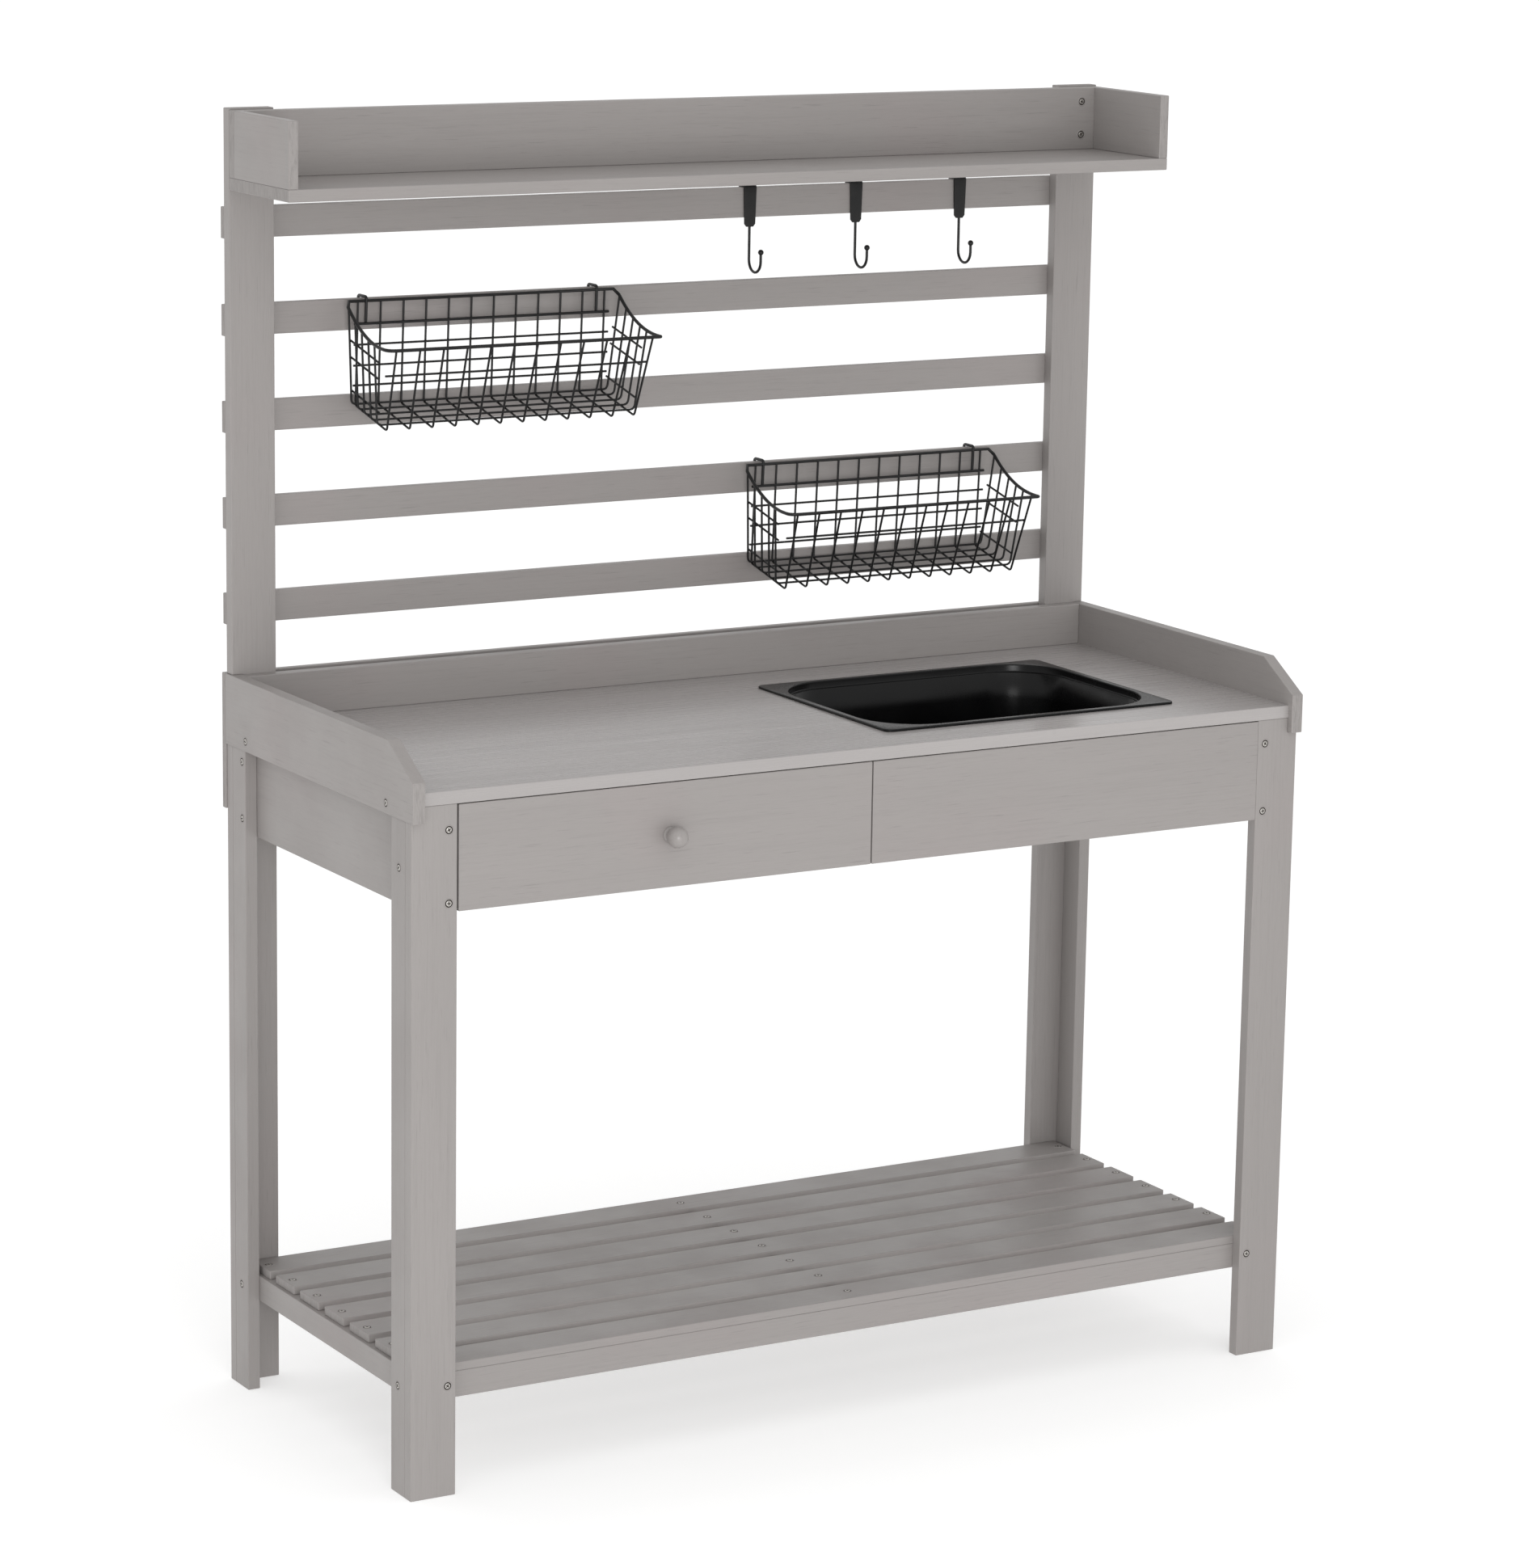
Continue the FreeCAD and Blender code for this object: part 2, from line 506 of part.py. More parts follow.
def basket(name, low_x, rung):
    """A wire basket that hangs on one slat of the back: a mesh of five flat grids, and a heavier rim
    wire that dips from the back to the front, with two wires that go over the slat. Its back leans,
    so that its heel rests near the slat below, and its floor falls from the heel to the toe."""
    long, deep, high = value("basket_long"), value("basket_deep"), value("basket_high")
    thick, rim = value("mesh_wire"), value("rim_wire")
    floor_deep, fall = value("floor_deep"), value("floor_fall")
    drop, bow = value("rim_drop"), value("rim_bow")
    x0 = value("left + " + low_x)
    heel_y = value("front + depth - basket_out")
    rim_y = heel_y - value("back_lean")
    toe_y = heel_y - floor_deep
    rim_z = value("rung_top - %d*rung_pitch - rim_below_rung" % rung)
    heel_z = rim_z - high
    toe_z = heel_z - fall

    def rim_drop_at(share):
        return drop * (1 - (1 - share) ** bow)

    def leaning(shape, low, angle):
        """A grid turned about the X axis, its own origin moved to low."""
        turn = FreeCAD.Rotation(FreeCAD.Vector(1, 0, 0), math.degrees(angle))
        shape.Placement = FreeCAD.Placement(FreeCAD.Vector(*low), turn)
        return shape

    pitch = value("cross_pitch")
    first = (long - (CROSS_BARS - 1) * pitch) / 2
    across = [first + pitch * n for n in range(CROSS_BARS)]
    rail_span = (first - value("rail_stub"), long - first + value("rail_stub"))

    back_high = math.hypot(high, heel_y - rim_y)
    back_rails = [back_high - value("back_rail_drop + %d*back_rail_pitch" % n)
                  for n in range(BACK_RAILS)]
    back = grid(across, back_rails, rail_span, [(thick / 2, back_high - rim)] * CROSS_BARS, thick)
    leaning(back, (x0, heel_y - thick / 2, heel_z), math.atan2(heel_y - rim_y, high))

    front_rise, front_out = high + fall - drop, toe_y - rim_y + deep
    front_high = math.hypot(front_rise, front_out) - rim - thick
    front_rails = [front_high - value("front_rail_drop"), 1.5 * thick]
    front = grid(across, front_rails, rail_span, [(thick, front_high)] * CROSS_BARS, thick)
    leaning(front, (x0, toe_y - thick / 2, toe_z), math.atan2(front_out, front_rise))

    inset, margin = value("basket_inset"), value("floor_margin")
    floor_long = math.hypot(floor_deep, fall)
    step = (floor_long - 2 * thick - 2 * margin) / (LONG_BARS - 1)
    lengthwise = [thick + margin + n * step for n in range(LONG_BARS)]
    floor_bars = []
    for x in across:
        floor_bars.append(Part.makeBox(thick, floor_long - 2 * thick, thick,
                                       FreeCAD.Vector(x - thick / 2, thick, -thick / 2)))
    for y in lengthwise:
        floor_bars.append(Part.makeBox(long - 2 * inset, thick, thick,
                                       FreeCAD.Vector(inset, y - thick / 2, -thick / 2)))
    floor = floor_bars[0].multiFuse(floor_bars[1:]).removeSplitter()
    leaning(floor, (x0, toe_y, toe_z), math.atan2(fall, floor_deep))

    uprights = [y * floor_deep / floor_long for y in lengthwise]
    spans = []
    for y in uprights:
        share = max(0, (rim_y - toe_y - y) / deep)
        spans.append((thick / 2 - fall * (1 - y / floor_deep), high - rim_drop_at(share) - rim))
    end_rails = [value("end_rail_up + %d*end_rail_pitch" % n) for n in range(END_RAILS)]
    end_grid = grid(uprights, end_rails, (uprights[0], uprights[-1]), spans, thick)
    ends = []
    for side in (-1, 1):
        turned_end = end_grid.copy()
        turn = FreeCAD.Rotation(FreeCAD.Vector(0, 0, 1), 90)
        tilt = FreeCAD.Rotation(FreeCAD.Vector(0, 1, 0), side * math.degrees(inset / high))
        foot = x0 + inset + thick if side < 0 else x0 + long - inset
        turned_end.Placement = FreeCAD.Placement(FreeCAD.Vector(foot, toe_y, heel_z), tilt * turn)
        ends.append(turned_end)

    mesh = doc.addObject("Part::Feature", name + "_mesh")
    mesh.Shape = Part.makeCompound([back, front, floor] + ends)
    keep(name + "_mesh", mesh)

    dip = [(rim_y - deep * share, rim_z - rim_drop_at(share)) for share in (0, 0.25, 0.5, 0.75, 1)]
    loop = [FreeCAD.Vector(x0 + long, y, z) for y, z in dip]
    loop += [FreeCAD.Vector(x0, y, z) for y, z in reversed(dip)]
    wires = [rod(a, b, rim) for a, b in zip(loop, loop[1:] + loop[:1])]
    wires += [Part.makeSphere(rim, point) for point in loop]
    hang = value("hang_wire")
    over_z = value("rung_top - %d*rung_pitch + hang_over" % rung) + hang
    behind_y = value("front + depth + thin_board + hang_behind") + hang
    for x in (x0 + value("hang_inset"), x0 + long - value("hang_inset")):
        path = [FreeCAD.Vector(x, rim_y, rim_z), FreeCAD.Vector(x, rim_y, over_z),
                FreeCAD.Vector(x, behind_y, over_z),
                FreeCAD.Vector(x, behind_y, over_z - value("hang_drop"))]
        wires += [rod(a, b, hang) for a, b in zip(path, path[1:])]
        wires += [Part.makeSphere(hang, point) for point in path]
    ring = doc.addObject("Part::Feature", name + "_rim")
    ring.Shape = wires[0].multiFuse(wires[1:])
    keep(name + "_rim", ring)


basket("basket_upper", "upper_basket_x", 1)
basket("basket_lower", "lower_basket_x", 3)


# ---- screws ---------------------------------------------------------------------------------
def screws(label, places, facing):
    """Low domed screw heads on a face. facing is the way they point out: -X, +X, -Y, +Y or +Z."""
    turns = {"-X": ((0, 1, 0), -90), "+X": ((0, 1, 0), 90), "-Y": ((1, 0, 0), 90),
             "+Y": ((1, 0, 0), -90), "+Z": ((0, 0, 1), 0)}
    heads = []
    for number, low in enumerate(places):
        head = doc.addObject("Part::Cone", "%s_%d" % (label, number))
        bind(head, Radius1="screw_head", Radius2="screw_head/2", Height="screw_proud")
        axis, angle = turns[facing]
        head.Placement.Rotation = FreeCAD.Rotation(FreeCAD.Vector(*axis), angle)
        place(head, low)
        heads.append(head)
    return heads


right_face = "left + width"
front_heads = []
side_heads = []
for side in ("left", "right"):
    if side == "left":
        near, outer, facing = "left + face_screw_in", "left", "-X"
        guard_face = "left - guard_side_proud"
    else:
        near, outer, facing = right_face + " - face_screw_in", right_face, "+X"
        guard_face = right_face + " + guard_side_proud"
    heights = ("face_screw_low", "face_screw_high", "foot_screw")
    front_heads += screws("front_screw_" + side, [(near, "front", z) for z in heights], "-Y")
    side_heads += screws("side_screw_" + side, [
        (outer, "front + side_screw_in", "side_screw"),
        (outer, "front + side_foot_in", "side_foot"),
        (outer, "front + depth - rear_side_in", "rear_side_high"),
        (outer, "front + depth - rear_side_in", "rear_side_low"),
        (outer, "front + depth - side_foot_in", "side_foot")], facing)
    side_heads += screws("guard_screw_" + side, [
        (guard_face, "front + guard_screw_front", "guard_screw"),
        (guard_face, "front + depth - guard_screw_rear", "guard_screw")], facing)
group("front_screws", front_heads)
group("side_screws", side_heads)


def both_ends(*insets):
    """The X of screws set in by each inset from both ends of the bench."""
    return ["left + " + inset for inset in insets] + [right_face + " - " + inset for inset in insets]


slat_places = []
for number in range(SHELF_SLATS):
    middle_y = "front + board + %d*slat_pitch + slat_wide/2" % number
    for x in both_ends("slat_screw_in") + ["left + width/2"]:
        slat_places.append((x, middle_y, "rail_high + slat_thick"))
group("shelf_screws", screws("shelf_screw", slat_places, "+Z"))
wall_places = []
for x in both_ends("slat_screw_in"):
    for z in ("wall_screw_low", "wall_screw_high"):
        wall_places.append((x, "front + depth - board - shelf_thick", z))
group("top_shelf_screws", screws("top_shelf_screw", wall_places, "-Y"))
rear_face = "front + depth + thin_board"
rear_places = []
for number in range(RUNGS):
    for x in both_ends("rung_screw_outer", "rung_screw_inner"):
        rear_places.append((x, rear_face, "rung_top - %d*rung_pitch - rung_high/2" % number))
for x in both_ends("apron_screw_in"):
    for z in ("apron_screw_low", "apron_screw_high"):
        rear_places.append((x, rear_face, z))
group("rear_screws", screws("rear_screw", rear_places, "+Y"))

# ---- check and write ------------------------------------------------------------------------
doc.recompute()
for thing in doc.Objects:
    if {"Invalid", "Error"} & set(thing.State):
        raise ValueError("%s failed: %s" % (thing.Name, thing.State))
os.makedirs("parts", exist_ok=True)
for label, thing in parts.items():
    shape = thing.Shape
    if shape.isNull() or not shape.isValid() or not shape.Solids:
        raise ValueError(label + " has no valid solid")
    shape.exportStep("parts/%s.step" % label)
whole = Part.makeCompound([thing.Shape for thing in parts.values()]).BoundBox
print("%d nodes, X %.1f..%.1f Y %.1f..%.1f Z %.1f..%.1f" % (
    len(parts), whole.XMin, whole.XMax, whole.YMin, whole.YMax, whole.ZMin, whole.ZMax))
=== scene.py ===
import json
import math

import bmesh
import bpy
from mathutils import Matrix, Vector


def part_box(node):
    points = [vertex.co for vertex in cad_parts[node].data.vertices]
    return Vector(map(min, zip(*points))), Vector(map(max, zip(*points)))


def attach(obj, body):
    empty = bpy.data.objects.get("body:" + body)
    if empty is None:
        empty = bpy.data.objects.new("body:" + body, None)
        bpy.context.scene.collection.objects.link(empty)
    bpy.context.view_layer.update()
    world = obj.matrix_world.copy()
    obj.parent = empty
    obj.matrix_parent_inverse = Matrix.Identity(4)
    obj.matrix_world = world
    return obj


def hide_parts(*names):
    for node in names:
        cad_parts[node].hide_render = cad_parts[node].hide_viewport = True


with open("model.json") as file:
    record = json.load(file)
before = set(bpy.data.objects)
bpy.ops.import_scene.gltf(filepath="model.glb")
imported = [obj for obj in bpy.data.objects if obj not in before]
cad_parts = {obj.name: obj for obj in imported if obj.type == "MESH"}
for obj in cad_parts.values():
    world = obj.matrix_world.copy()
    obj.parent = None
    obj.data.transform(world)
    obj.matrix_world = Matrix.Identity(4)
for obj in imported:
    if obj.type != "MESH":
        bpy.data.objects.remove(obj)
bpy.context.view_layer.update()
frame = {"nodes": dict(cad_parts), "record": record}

MM = 0.001
NODES = frame["nodes"]

# ---- camera ---------------------------------------------------------------------------------
SENSOR_WIDE, LENS = 36, 117.02
FAR_CLIP = 200
CAMERA_PLACE = (-2.927, -5.011, 1.937)
CAMERA_YAW, CAMERA_PITCH, CAMERA_ROLL = math.radians(30.26), math.radians(-11.95), math.radians(0.92)


def make_camera():
    data = bpy.data.cameras.new("camera")
    data.sensor_width = SENSOR_WIDE
    data.lens = LENS
    data.clip_end = FAR_CLIP
    camera = bpy.data.objects.new("camera", data)
    bpy.context.scene.collection.objects.link(camera)
    turn = Matrix.Rotation(-CAMERA_YAW, 4, "Z") @ Matrix.Rotation(math.pi / 2 + CAMERA_PITCH, 4, "X")
    camera.matrix_world = Matrix.Translation(CAMERA_PLACE) @ turn @ Matrix.Rotation(CAMERA_ROLL, 4, "Z")
    bpy.context.scene.camera = camera


make_camera()


# ---- materials ------------------------------------------------------------------------------
class Shading:
    """A new material's node tree, with short ways to add and join nodes."""

    def __init__(self, name):
        self.material = bpy.data.materials.new(name)
        self.material.use_nodes = True
        self.tree = self.material.node_tree
        self.shader = self.tree.nodes["Principled BSDF"]
        self.place = self.add("ShaderNodeTexCoord").outputs["Object"]

    def add(self, kind, **inputs):
        node = self.tree.nodes.new(kind)
        for name, value in inputs.items():
            self.feed(node.inputs[name.replace("_", " ")], value)
        return node

    def feed(self, socket, value):
        if isinstance(value, bpy.types.NodeSocket):
            self.tree.links.new(value, socket)
        else:
            socket.default_value = value

    def set(self, **inputs):
        for name, value in inputs.items():
            self.feed(self.shader.inputs[name.replace("_", " ")], value)

    def stretched(self, scale):
        """Object coordinates times a scale, so that a texture runs along one axis."""
        node = self.add("ShaderNodeMapping", Vector=self.place, Scale=scale)
        return node.outputs["Vector"]

    def noise(self, scale, detail=4.0, rough=0.55, warp=0.0):
        node = self.add("ShaderNodeTexNoise", Vector=self.stretched(scale), Scale=1.0,
                        Detail=detail, Roughness=rough, Distortion=warp)
        return node.outputs["Fac"]

    def spread(self, value, low, high, to_low=0.0, to_high=1.0):
        """A value eased from the range low to high on to the range to_low to to_high."""
        node = self.add("ShaderNodeMapRange")
        node.interpolation_type = "SMOOTHSTEP"
        for place, number in enumerate((value, low, high, to_low, to_high)):
            self.feed(node.inputs[place], number)
        return node.outputs[0]

    def math(self, operation, first, second=0.0):
        node = self.tree.nodes.new("ShaderNodeMath")
        node.operation = operation
        self.feed(node.inputs[0], first)
        self.feed(node.inputs[1], second)
        return node.outputs[0]

    def times(self, first, second):
        return self.math("MULTIPLY", first, second)

    def plus(self, first, second):
        return self.math("ADD", first, second)

    def mix(self, share, first, second):
        node = self.tree.nodes.new("ShaderNodeMix")
        node.data_type = "RGBA"
        self.feed(node.inputs[0], share)
        for socket, value in ((node.inputs[6], first), (node.inputs[7], second)):
            self.feed(socket, value if isinstance(value, bpy.types.NodeSocket) else (*value, 1.0))
        return node.outputs[2]

    def layer(self, base, pattern, share, colour):
        """A colour laid over a base where a pattern shows, as strongly as share says."""
        return self.mix(self.times(pattern, share), base, colour)

    def bump(self, height, distance, strength=1.0):
        node = self.add("ShaderNodeBump", Height=height, Distance=distance, Strength=strength)
        self.feed(self.shader.inputs["Normal"], node.outputs["Normal"])


AXES = "XYZ"
PAINT = (0.292, 0.273, 0.264)
INNER_STAIN = (0.292, 0.266, 0.246)
# the worktop's paint is lighter than PAINT: painted light falling on the top
LIT_WORKTOP_PAINT = (0.362, 0.342, 0.335)
KNOB_PAINT = (0.285, 0.265, 0.256)
FLOOR_GLOW = 0.50


def tinted(colour, share):
    return tuple(channel * share for channel in colour)


def along(axis, run, across):
    """A texture scale with one value along an axis and another across it."""
    return tuple(run if name == axis else across for name in AXES)


def painted_board(name, axis, colour=PAINT, rough=0.46, streaks=1.0):
    """Warm grey satin paint over a sawn board whose grain runs along one axis. The grain shows
    through as faint streaks and shallow lines, and the two ends show end grain."""
    shade = Shading(name)
    broad = shade.noise(along(axis, 1.1, 11), detail=3, rough=0.5, warp=0.4)
    streak = shade.noise(along(axis, 7, 300), detail=6, rough=0.68, warp=0.15)
    fibre = shade.noise(along(axis, 45, 1300), detail=3, rough=0.6)
    pores = shade.noise(along(axis, 22, 800), detail=2, rough=0.5)
    warm = shade.noise((5, 5, 5), detail=2, rough=0.5)
    line = shade.spread(pores, 0.64, 0.74)

    pink = (colour[0] * 1.03, colour[1] * 0.98, colour[2] * 0.99)
    base = shade.mix(shade.spread(broad, 0.32, 0.70), tinted(colour, 0.975), tinted(colour, 1.035))
    base = shade.layer(base, shade.spread(warm, 0.5, 0.7), 0.4, pink)
    base = shade.layer(base, shade.spread(streak, 0.45, 0.75), 0.34 * streaks, tinted(colour, 0.84))
    base = shade.layer(base, shade.spread(fibre, 0.45, 0.7), 0.22 * streaks, tinted(colour, 0.86))
    base = shade.layer(base, line, 0.32 * streaks, tinted(colour, 0.62))

    # end grain, where the surface faces along the board
    facing = shade.add("ShaderNodeSeparateXYZ",
                       Vector=shade.tree.nodes["Texture Coordinate"].outputs["Normal"])
    end = shade.spread(shade.math("ABSOLUTE", facing.outputs[AXES.index(axis)]), 0.93, 0.99)
    across = "Z" if axis != "Z" else "Y"
    rings = shade.noise(along(across, 60, 420), detail=4, rough=0.6, warp=0.8)
    ring_paint = shade.mix(shade.spread(rings, 0.42, 0.68), tinted(colour, 0.99), tinted(colour, 0.80))
    base = shade.mix(end, base, ring_paint)

    smudge = shade.noise((9, 9, 9), detail=5, rough=0.6)
    roughness = shade.spread(smudge, 0.3, 0.75, rough - 0.07, rough + 0.10)
    shade.set(Base_Color=base, Roughness=shade.plus(roughness, shade.times(end, 0.2)))
    shade.set(Specular_IOR_Level=0.45)
    relief = shade.plus(shade.times(streak, 0.45), shade.times(fibre, 0.25))
    relief = shade.plus(relief, shade.times(shade.math("SUBTRACT", 1.0, line), 0.4))
    relief = shade.plus(relief, shade.times(shade.times(rings, end), 0.5))
    shade.bump(relief, 0.16 * MM * streaks)
    return shade.material


def worktop_paint():
    """Smoother paint with the long brush streaks that a satin top coat leaves, and a soft sheen. Its colour
    is lighter than the boards' paint, which paints in light falling on the top.
    """
    shade = Shading("worktop_paint_satin")
    colour = LIT_WORKTOP_PAINT
    strokes = shade.noise(along("X", 3.2, 230), detail=7, rough=0.68, warp=0.2)
    fibre = shade.noise(along("X", 40, 1200), detail=3, rough=0.6)
    broad = shade.noise(along("X", 1.1, 9), detail=3, rough=0.5, warp=0.5)
    specks = shade.noise((60, 60, 60), detail=3, rough=0.6)
    base = shade.mix(shade.spread(broad, 0.35, 0.7), tinted(colour, 0.965), tinted(colour, 1.04))
    base = shade.layer(base, shade.spread(strokes, 0.42, 0.72), 0.27, tinted(colour, 0.86))
    base = shade.layer(base, shade.spread(fibre, 0.45, 0.7), 0.15, tinted(colour, 0.86))
    base = shade.layer(base, shade.spread(specks, 0.66, 0.8), 0.25, tinted(colour, 0.78))
    shade.set(Base_Color=base, Roughness=shade.spread(strokes, 0.3, 0.7, 0.23, 0.36))
    shade.set(Specular_IOR_Level=0.55, Coat_Weight=0.12, Coat_Roughness=0.18)
    shade.bump(strokes, 0.06 * MM)
    return shade.material


def turned_paint():
    """The same paint, sprayed smooth on a turned knob, with faint lathe lines."""
    shade = Shading("knob_paint_turned")
    colour = KNOB_PAINT
    lathe_lines = shade.noise(along("Y", 1400, 30), detail=3, rough=0.6)
    cloud = shade.noise((160, 160, 160), detail=4, rough=0.6)
    base = shade.mix(shade.spread(cloud, 0.35, 0.7), tinted(colour, 0.97), tinted(colour, 1.03))
    base = shade.layer(base, shade.spread(lathe_lines, 0.5, 0.75), 0.25, tinted(colour, 0.85))
    shade.set(Base_Color=base, Roughness=shade.spread(cloud, 0.3, 0.7, 0.28, 0.38))
    shade.set(Specular_IOR_Level=0.5)
    shade.bump(lathe_lines, 0.03 * MM)
    return shade.material


def painted_recess_shade():
    """Painted shade for the recess of a screw and the gap round its head: a near-black colour with faint
    spots, standing in for the shadow in them.
    """
    shade = Shading("screw_recess_painted_shade")
    spots = shade.noise((1800, 1800, 1800), detail=4, rough=0.6)
    base = shade.mix(shade.spread(spots, 0.4, 0.7), (0.018, 0.013, 0.010), (0.050, 0.040, 0.034))
    shade.set(Base_Color=base, Roughness=shade.spread(spots, 0.3, 0.7, 0.5, 0.75))
    shade.set(Specular_IOR_Level=0.3)
    return shade.material


def basin_plastic():
    """Injection-moulded black plastic, with the fine spark texture of its mould and light scuffs."""
    shade = Shading("basin_plastic_moulded")
    grain = shade.noise((1500, 1500, 1500), detail=2, rough=0.5)
    scuffs = shade.noise(along("X", 12, 260), detail=5, rough=0.7, warp=0.6)
    cloud = shade.noise((14, 14, 14), detail=4, rough=0.6)
    marks = shade.spread(scuffs, 0.60, 0.78)
    base = shade.mix(shade.times(marks, 0.5), (0.0022, 0.0022, 0.0024), (0.008, 0.008, 0.0084))
    roughness = shade.plus(shade.spread(cloud, 0.3, 0.7, 0.20, 0.30), shade.times(marks, 0.12))
    shade.set(Base_Color=base, Roughness=roughness)
    shade.set(Specular_IOR_Level=0.24)
    shade.bump(grain, 0.03 * MM, 0.6)
    return shade.material


def powder_coat(name, rough, gloss_spread=0.1):
    """Black powder coating, with its orange-peel surface and a grey bloom on it."""
    shade = Shading(name)
    peel = shade.noise((700, 700, 700), detail=3, rough=0.5)
    bloom = shade.noise((60, 60, 60), detail=4, rough=0.6)
    base = shade.mix(shade.spread(bloom, 0.4, 0.75), (0.0045, 0.0045, 0.0048), (0.011, 0.0107, 0.0105))
    shade.set(Base_Color=base, Roughness=shade.spread(bloom, 0.3, 0.7, rough, rough + gloss_spread))
    shade.set(Specular_IOR_Level=0.35)
    shade.bump(peel, 0.06 * MM, 0.7)
    return shade.material


def screw_metal():
    """Dulled zinc plating."""
    shade = Shading("screw_zinc")
    spots = shade.noise((900, 900, 900), detail=4, rough=0.6)
    brush = shade.noise(along("X", 2600, 300), detail=3, rough=0.5)
    base = shade.mix(shade.spread(spots, 0.45, 0.7), (0.56, 0.54, 0.51), (0.24, 0.225, 0.21))
    shade.set(Base_Color=base, Roughness=shade.spread(brush, 0.3, 0.7, 0.28, 0.5))
    shade.set(Metallic=0.9)
    shade.bump(brush, 0.02 * MM, 0.6)
    return shade.material


def floor_paint():
    """A white studio sweep, lit from below as well, so that shadows on it are faint."""
    shade = Shading("studio_floor")
    cloud = shade.noise((0.8, 0.8, 0.8), detail=2, rough=0.5)
    shade.set(Base_Color=shade.mix(cloud, (0.60, 0.60, 0.60), (0.62, 0.62, 0.615)), Roughness=0.9)
    shade.set(Emission_Color=(1.0, 1.0, 1.0, 1.0), Emission_Strength=FLOOR_GLOW)
    return shade.material


BOARD = {axis: painted_board("board_paint_grain_" + axis.lower(), axis) for axis in AXES}
INNER = {axis: painted_board("inner_wood_grain_" + axis.lower(), axis, INNER_STAIN, rough=0.62, streaks=1.5)
         for axis in AXES}
WORKTOP = worktop_paint()
PLASTIC = basin_plastic()
WIRE = powder_coat("black_wire_coat", rough=0.34)
STRAP = powder_coat("black_strap_coat", rough=0.42, gloss_spread=0.14)
ZINC = screw_metal()
# painted shade for the screw recesses and the holes round the heads
RECESS_PAINTED_SHADE = painted_recess_shade()
KNOB = turned_paint()


def longest_axis(node):
    low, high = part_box(node)
    sides = [h - l for l, h in zip(low, high)]
    return AXES[sides.index(max(sides))]


def dress_boards():
    """Every board that stays as the CAD made it gets paint whose grain runs along its length."""
    slots = {row["node"]: row["material_slot"] for row in frame["record"]["subparts"]}
    for name, node in NODES.items():
        paints = {"board_paint": BOARD, "inner_wood": INNER}.get(slots[name])
        if name == "worktop":
            chosen = WORKTOP
        elif paints:
            chosen = paints["Z" if name == "corner_cleats" else longest_axis(name)]
        else:
            continue
        node.data.materials.clear()
        node.data.materials.append(chosen)


dress_boards()


# ---- mesh and wire helpers ------------------------------------------------------------------
MOST_BENT = 0.48


def finish_piece(piece, body, replaced=None):
    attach(piece, body)
    if replaced:
        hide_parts(*replaced)


def mesh_piece(name, mesh, material, smooth=True):
    """An object from a bmesh, with its normals facing out."""
    bmesh.ops.recalc_face_normals(mesh, faces=mesh.faces)
    data = bpy.data.meshes.new(name)
    mesh.to_mesh(data)
    mesh.free()
    data.materials.append(material)
    data.polygons.foreach_set("use_smooth", [smooth] * len(data.polygons))
    piece = bpy.data.objects.new(name, data)
    bpy.context.scene.collection.objects.link(piece)
    return piece


def quarter_turn(steps):
    """The sine and cosine of each step of a quarter turn, from 0 to 90 degrees."""
    angles = [math.pi / 2 * step / steps for step in range(steps + 1)]
    return [(math.sin(angle), math.cos(angle)) for angle in angles]


def circle(steps):
    """The cosine and sine of evenly spaced angles round a whole turn."""
    angles = [2 * math.pi * step / steps for step in range(steps)]
    return [(math.cos(angle), math.sin(angle)) for angle in angles]


def skin(mesh, rings):
    """Faces between each ring of vertices and the next. All the rings have the same number."""
    for ring, following in zip(rings, rings[1:]):
        for index in range(len(ring)):
            after = (index + 1) % len(ring)
            mesh.faces.new((ring[index], ring[after], following[after], following[index]))


def bent(points, radius, steps=5):
    """The points of a bent wire: each inner corner becomes a curve that starts radius from it. Where
    a straight is short, its two curves share it, and each starts just short of its middle."""
    points = [Vector(p) for p in points]
    path = [points[0]]
    for before, corner, after in zip(points, points[1:], points[2:]):
        reach_in = min(radius, (corner - before).length * MOST_BENT)
        reach_out = min(radius, (after - corner).length * MOST_BENT)
        start = corner + (before - corner).normalized() * reach_in
        end = corner + (after - corner).normalized() * reach_out
        for step in range(steps + 1):
            t = step / steps
            path.append(start * (1 - t) ** 2 + corner * 2 * t * (1 - t) + end * t * t)
    return path + [points[-1]]


def wire_piece(name, paths, radius, material):
    """One curve object that holds many round wires. paths are (points, closed)."""
    curve = bpy.data.curves.new(name, "CURVE")
    curve.dimensions = "3D"
    curve.bevel_depth = radius
    curve.bevel_resolution = 3
    curve.use_fill_caps = True
    for points, closed in paths:
        spline = curve.splines.new("POLY")
        spline.points.add(len(points) - 1)
        for place, point in zip(spline.points, points):
            place.co = (*point, 1)
        spline.use_cyclic_u = closed
        spline.use_smooth = True
    curve.materials.append(material)
    piece = bpy.data.objects.new(name, curve)
    bpy.context.scene.collection.objects.link(piece)
    return piece


# ---- wire baskets ---------------------------------------------------------------------------
RIM_RADIUS = 2.0 * MM
MESH_RADIUS = 1.3 * MM
HANGER_RADIUS = 1.8 * MM
BACK_RAIL_RADIUS = 1.7 * MM
# the rim: how deep it is, how far it dips to the front and how sharply, and its corners
RIM_DEEP, RIM_DROP, RIM_BOW = 111 * MM, 44 * MM, 2.3
RIM_STEPS = 16
RIM_BACK_END = 4 * MM
RIM_SHARP_CORNER, RIM_ROUND_CORNER = 3 * MM, 16 * MM
RIM_SHARP_RUN, RIM_ROUND_RUN = 20 * MM, 30 * MM
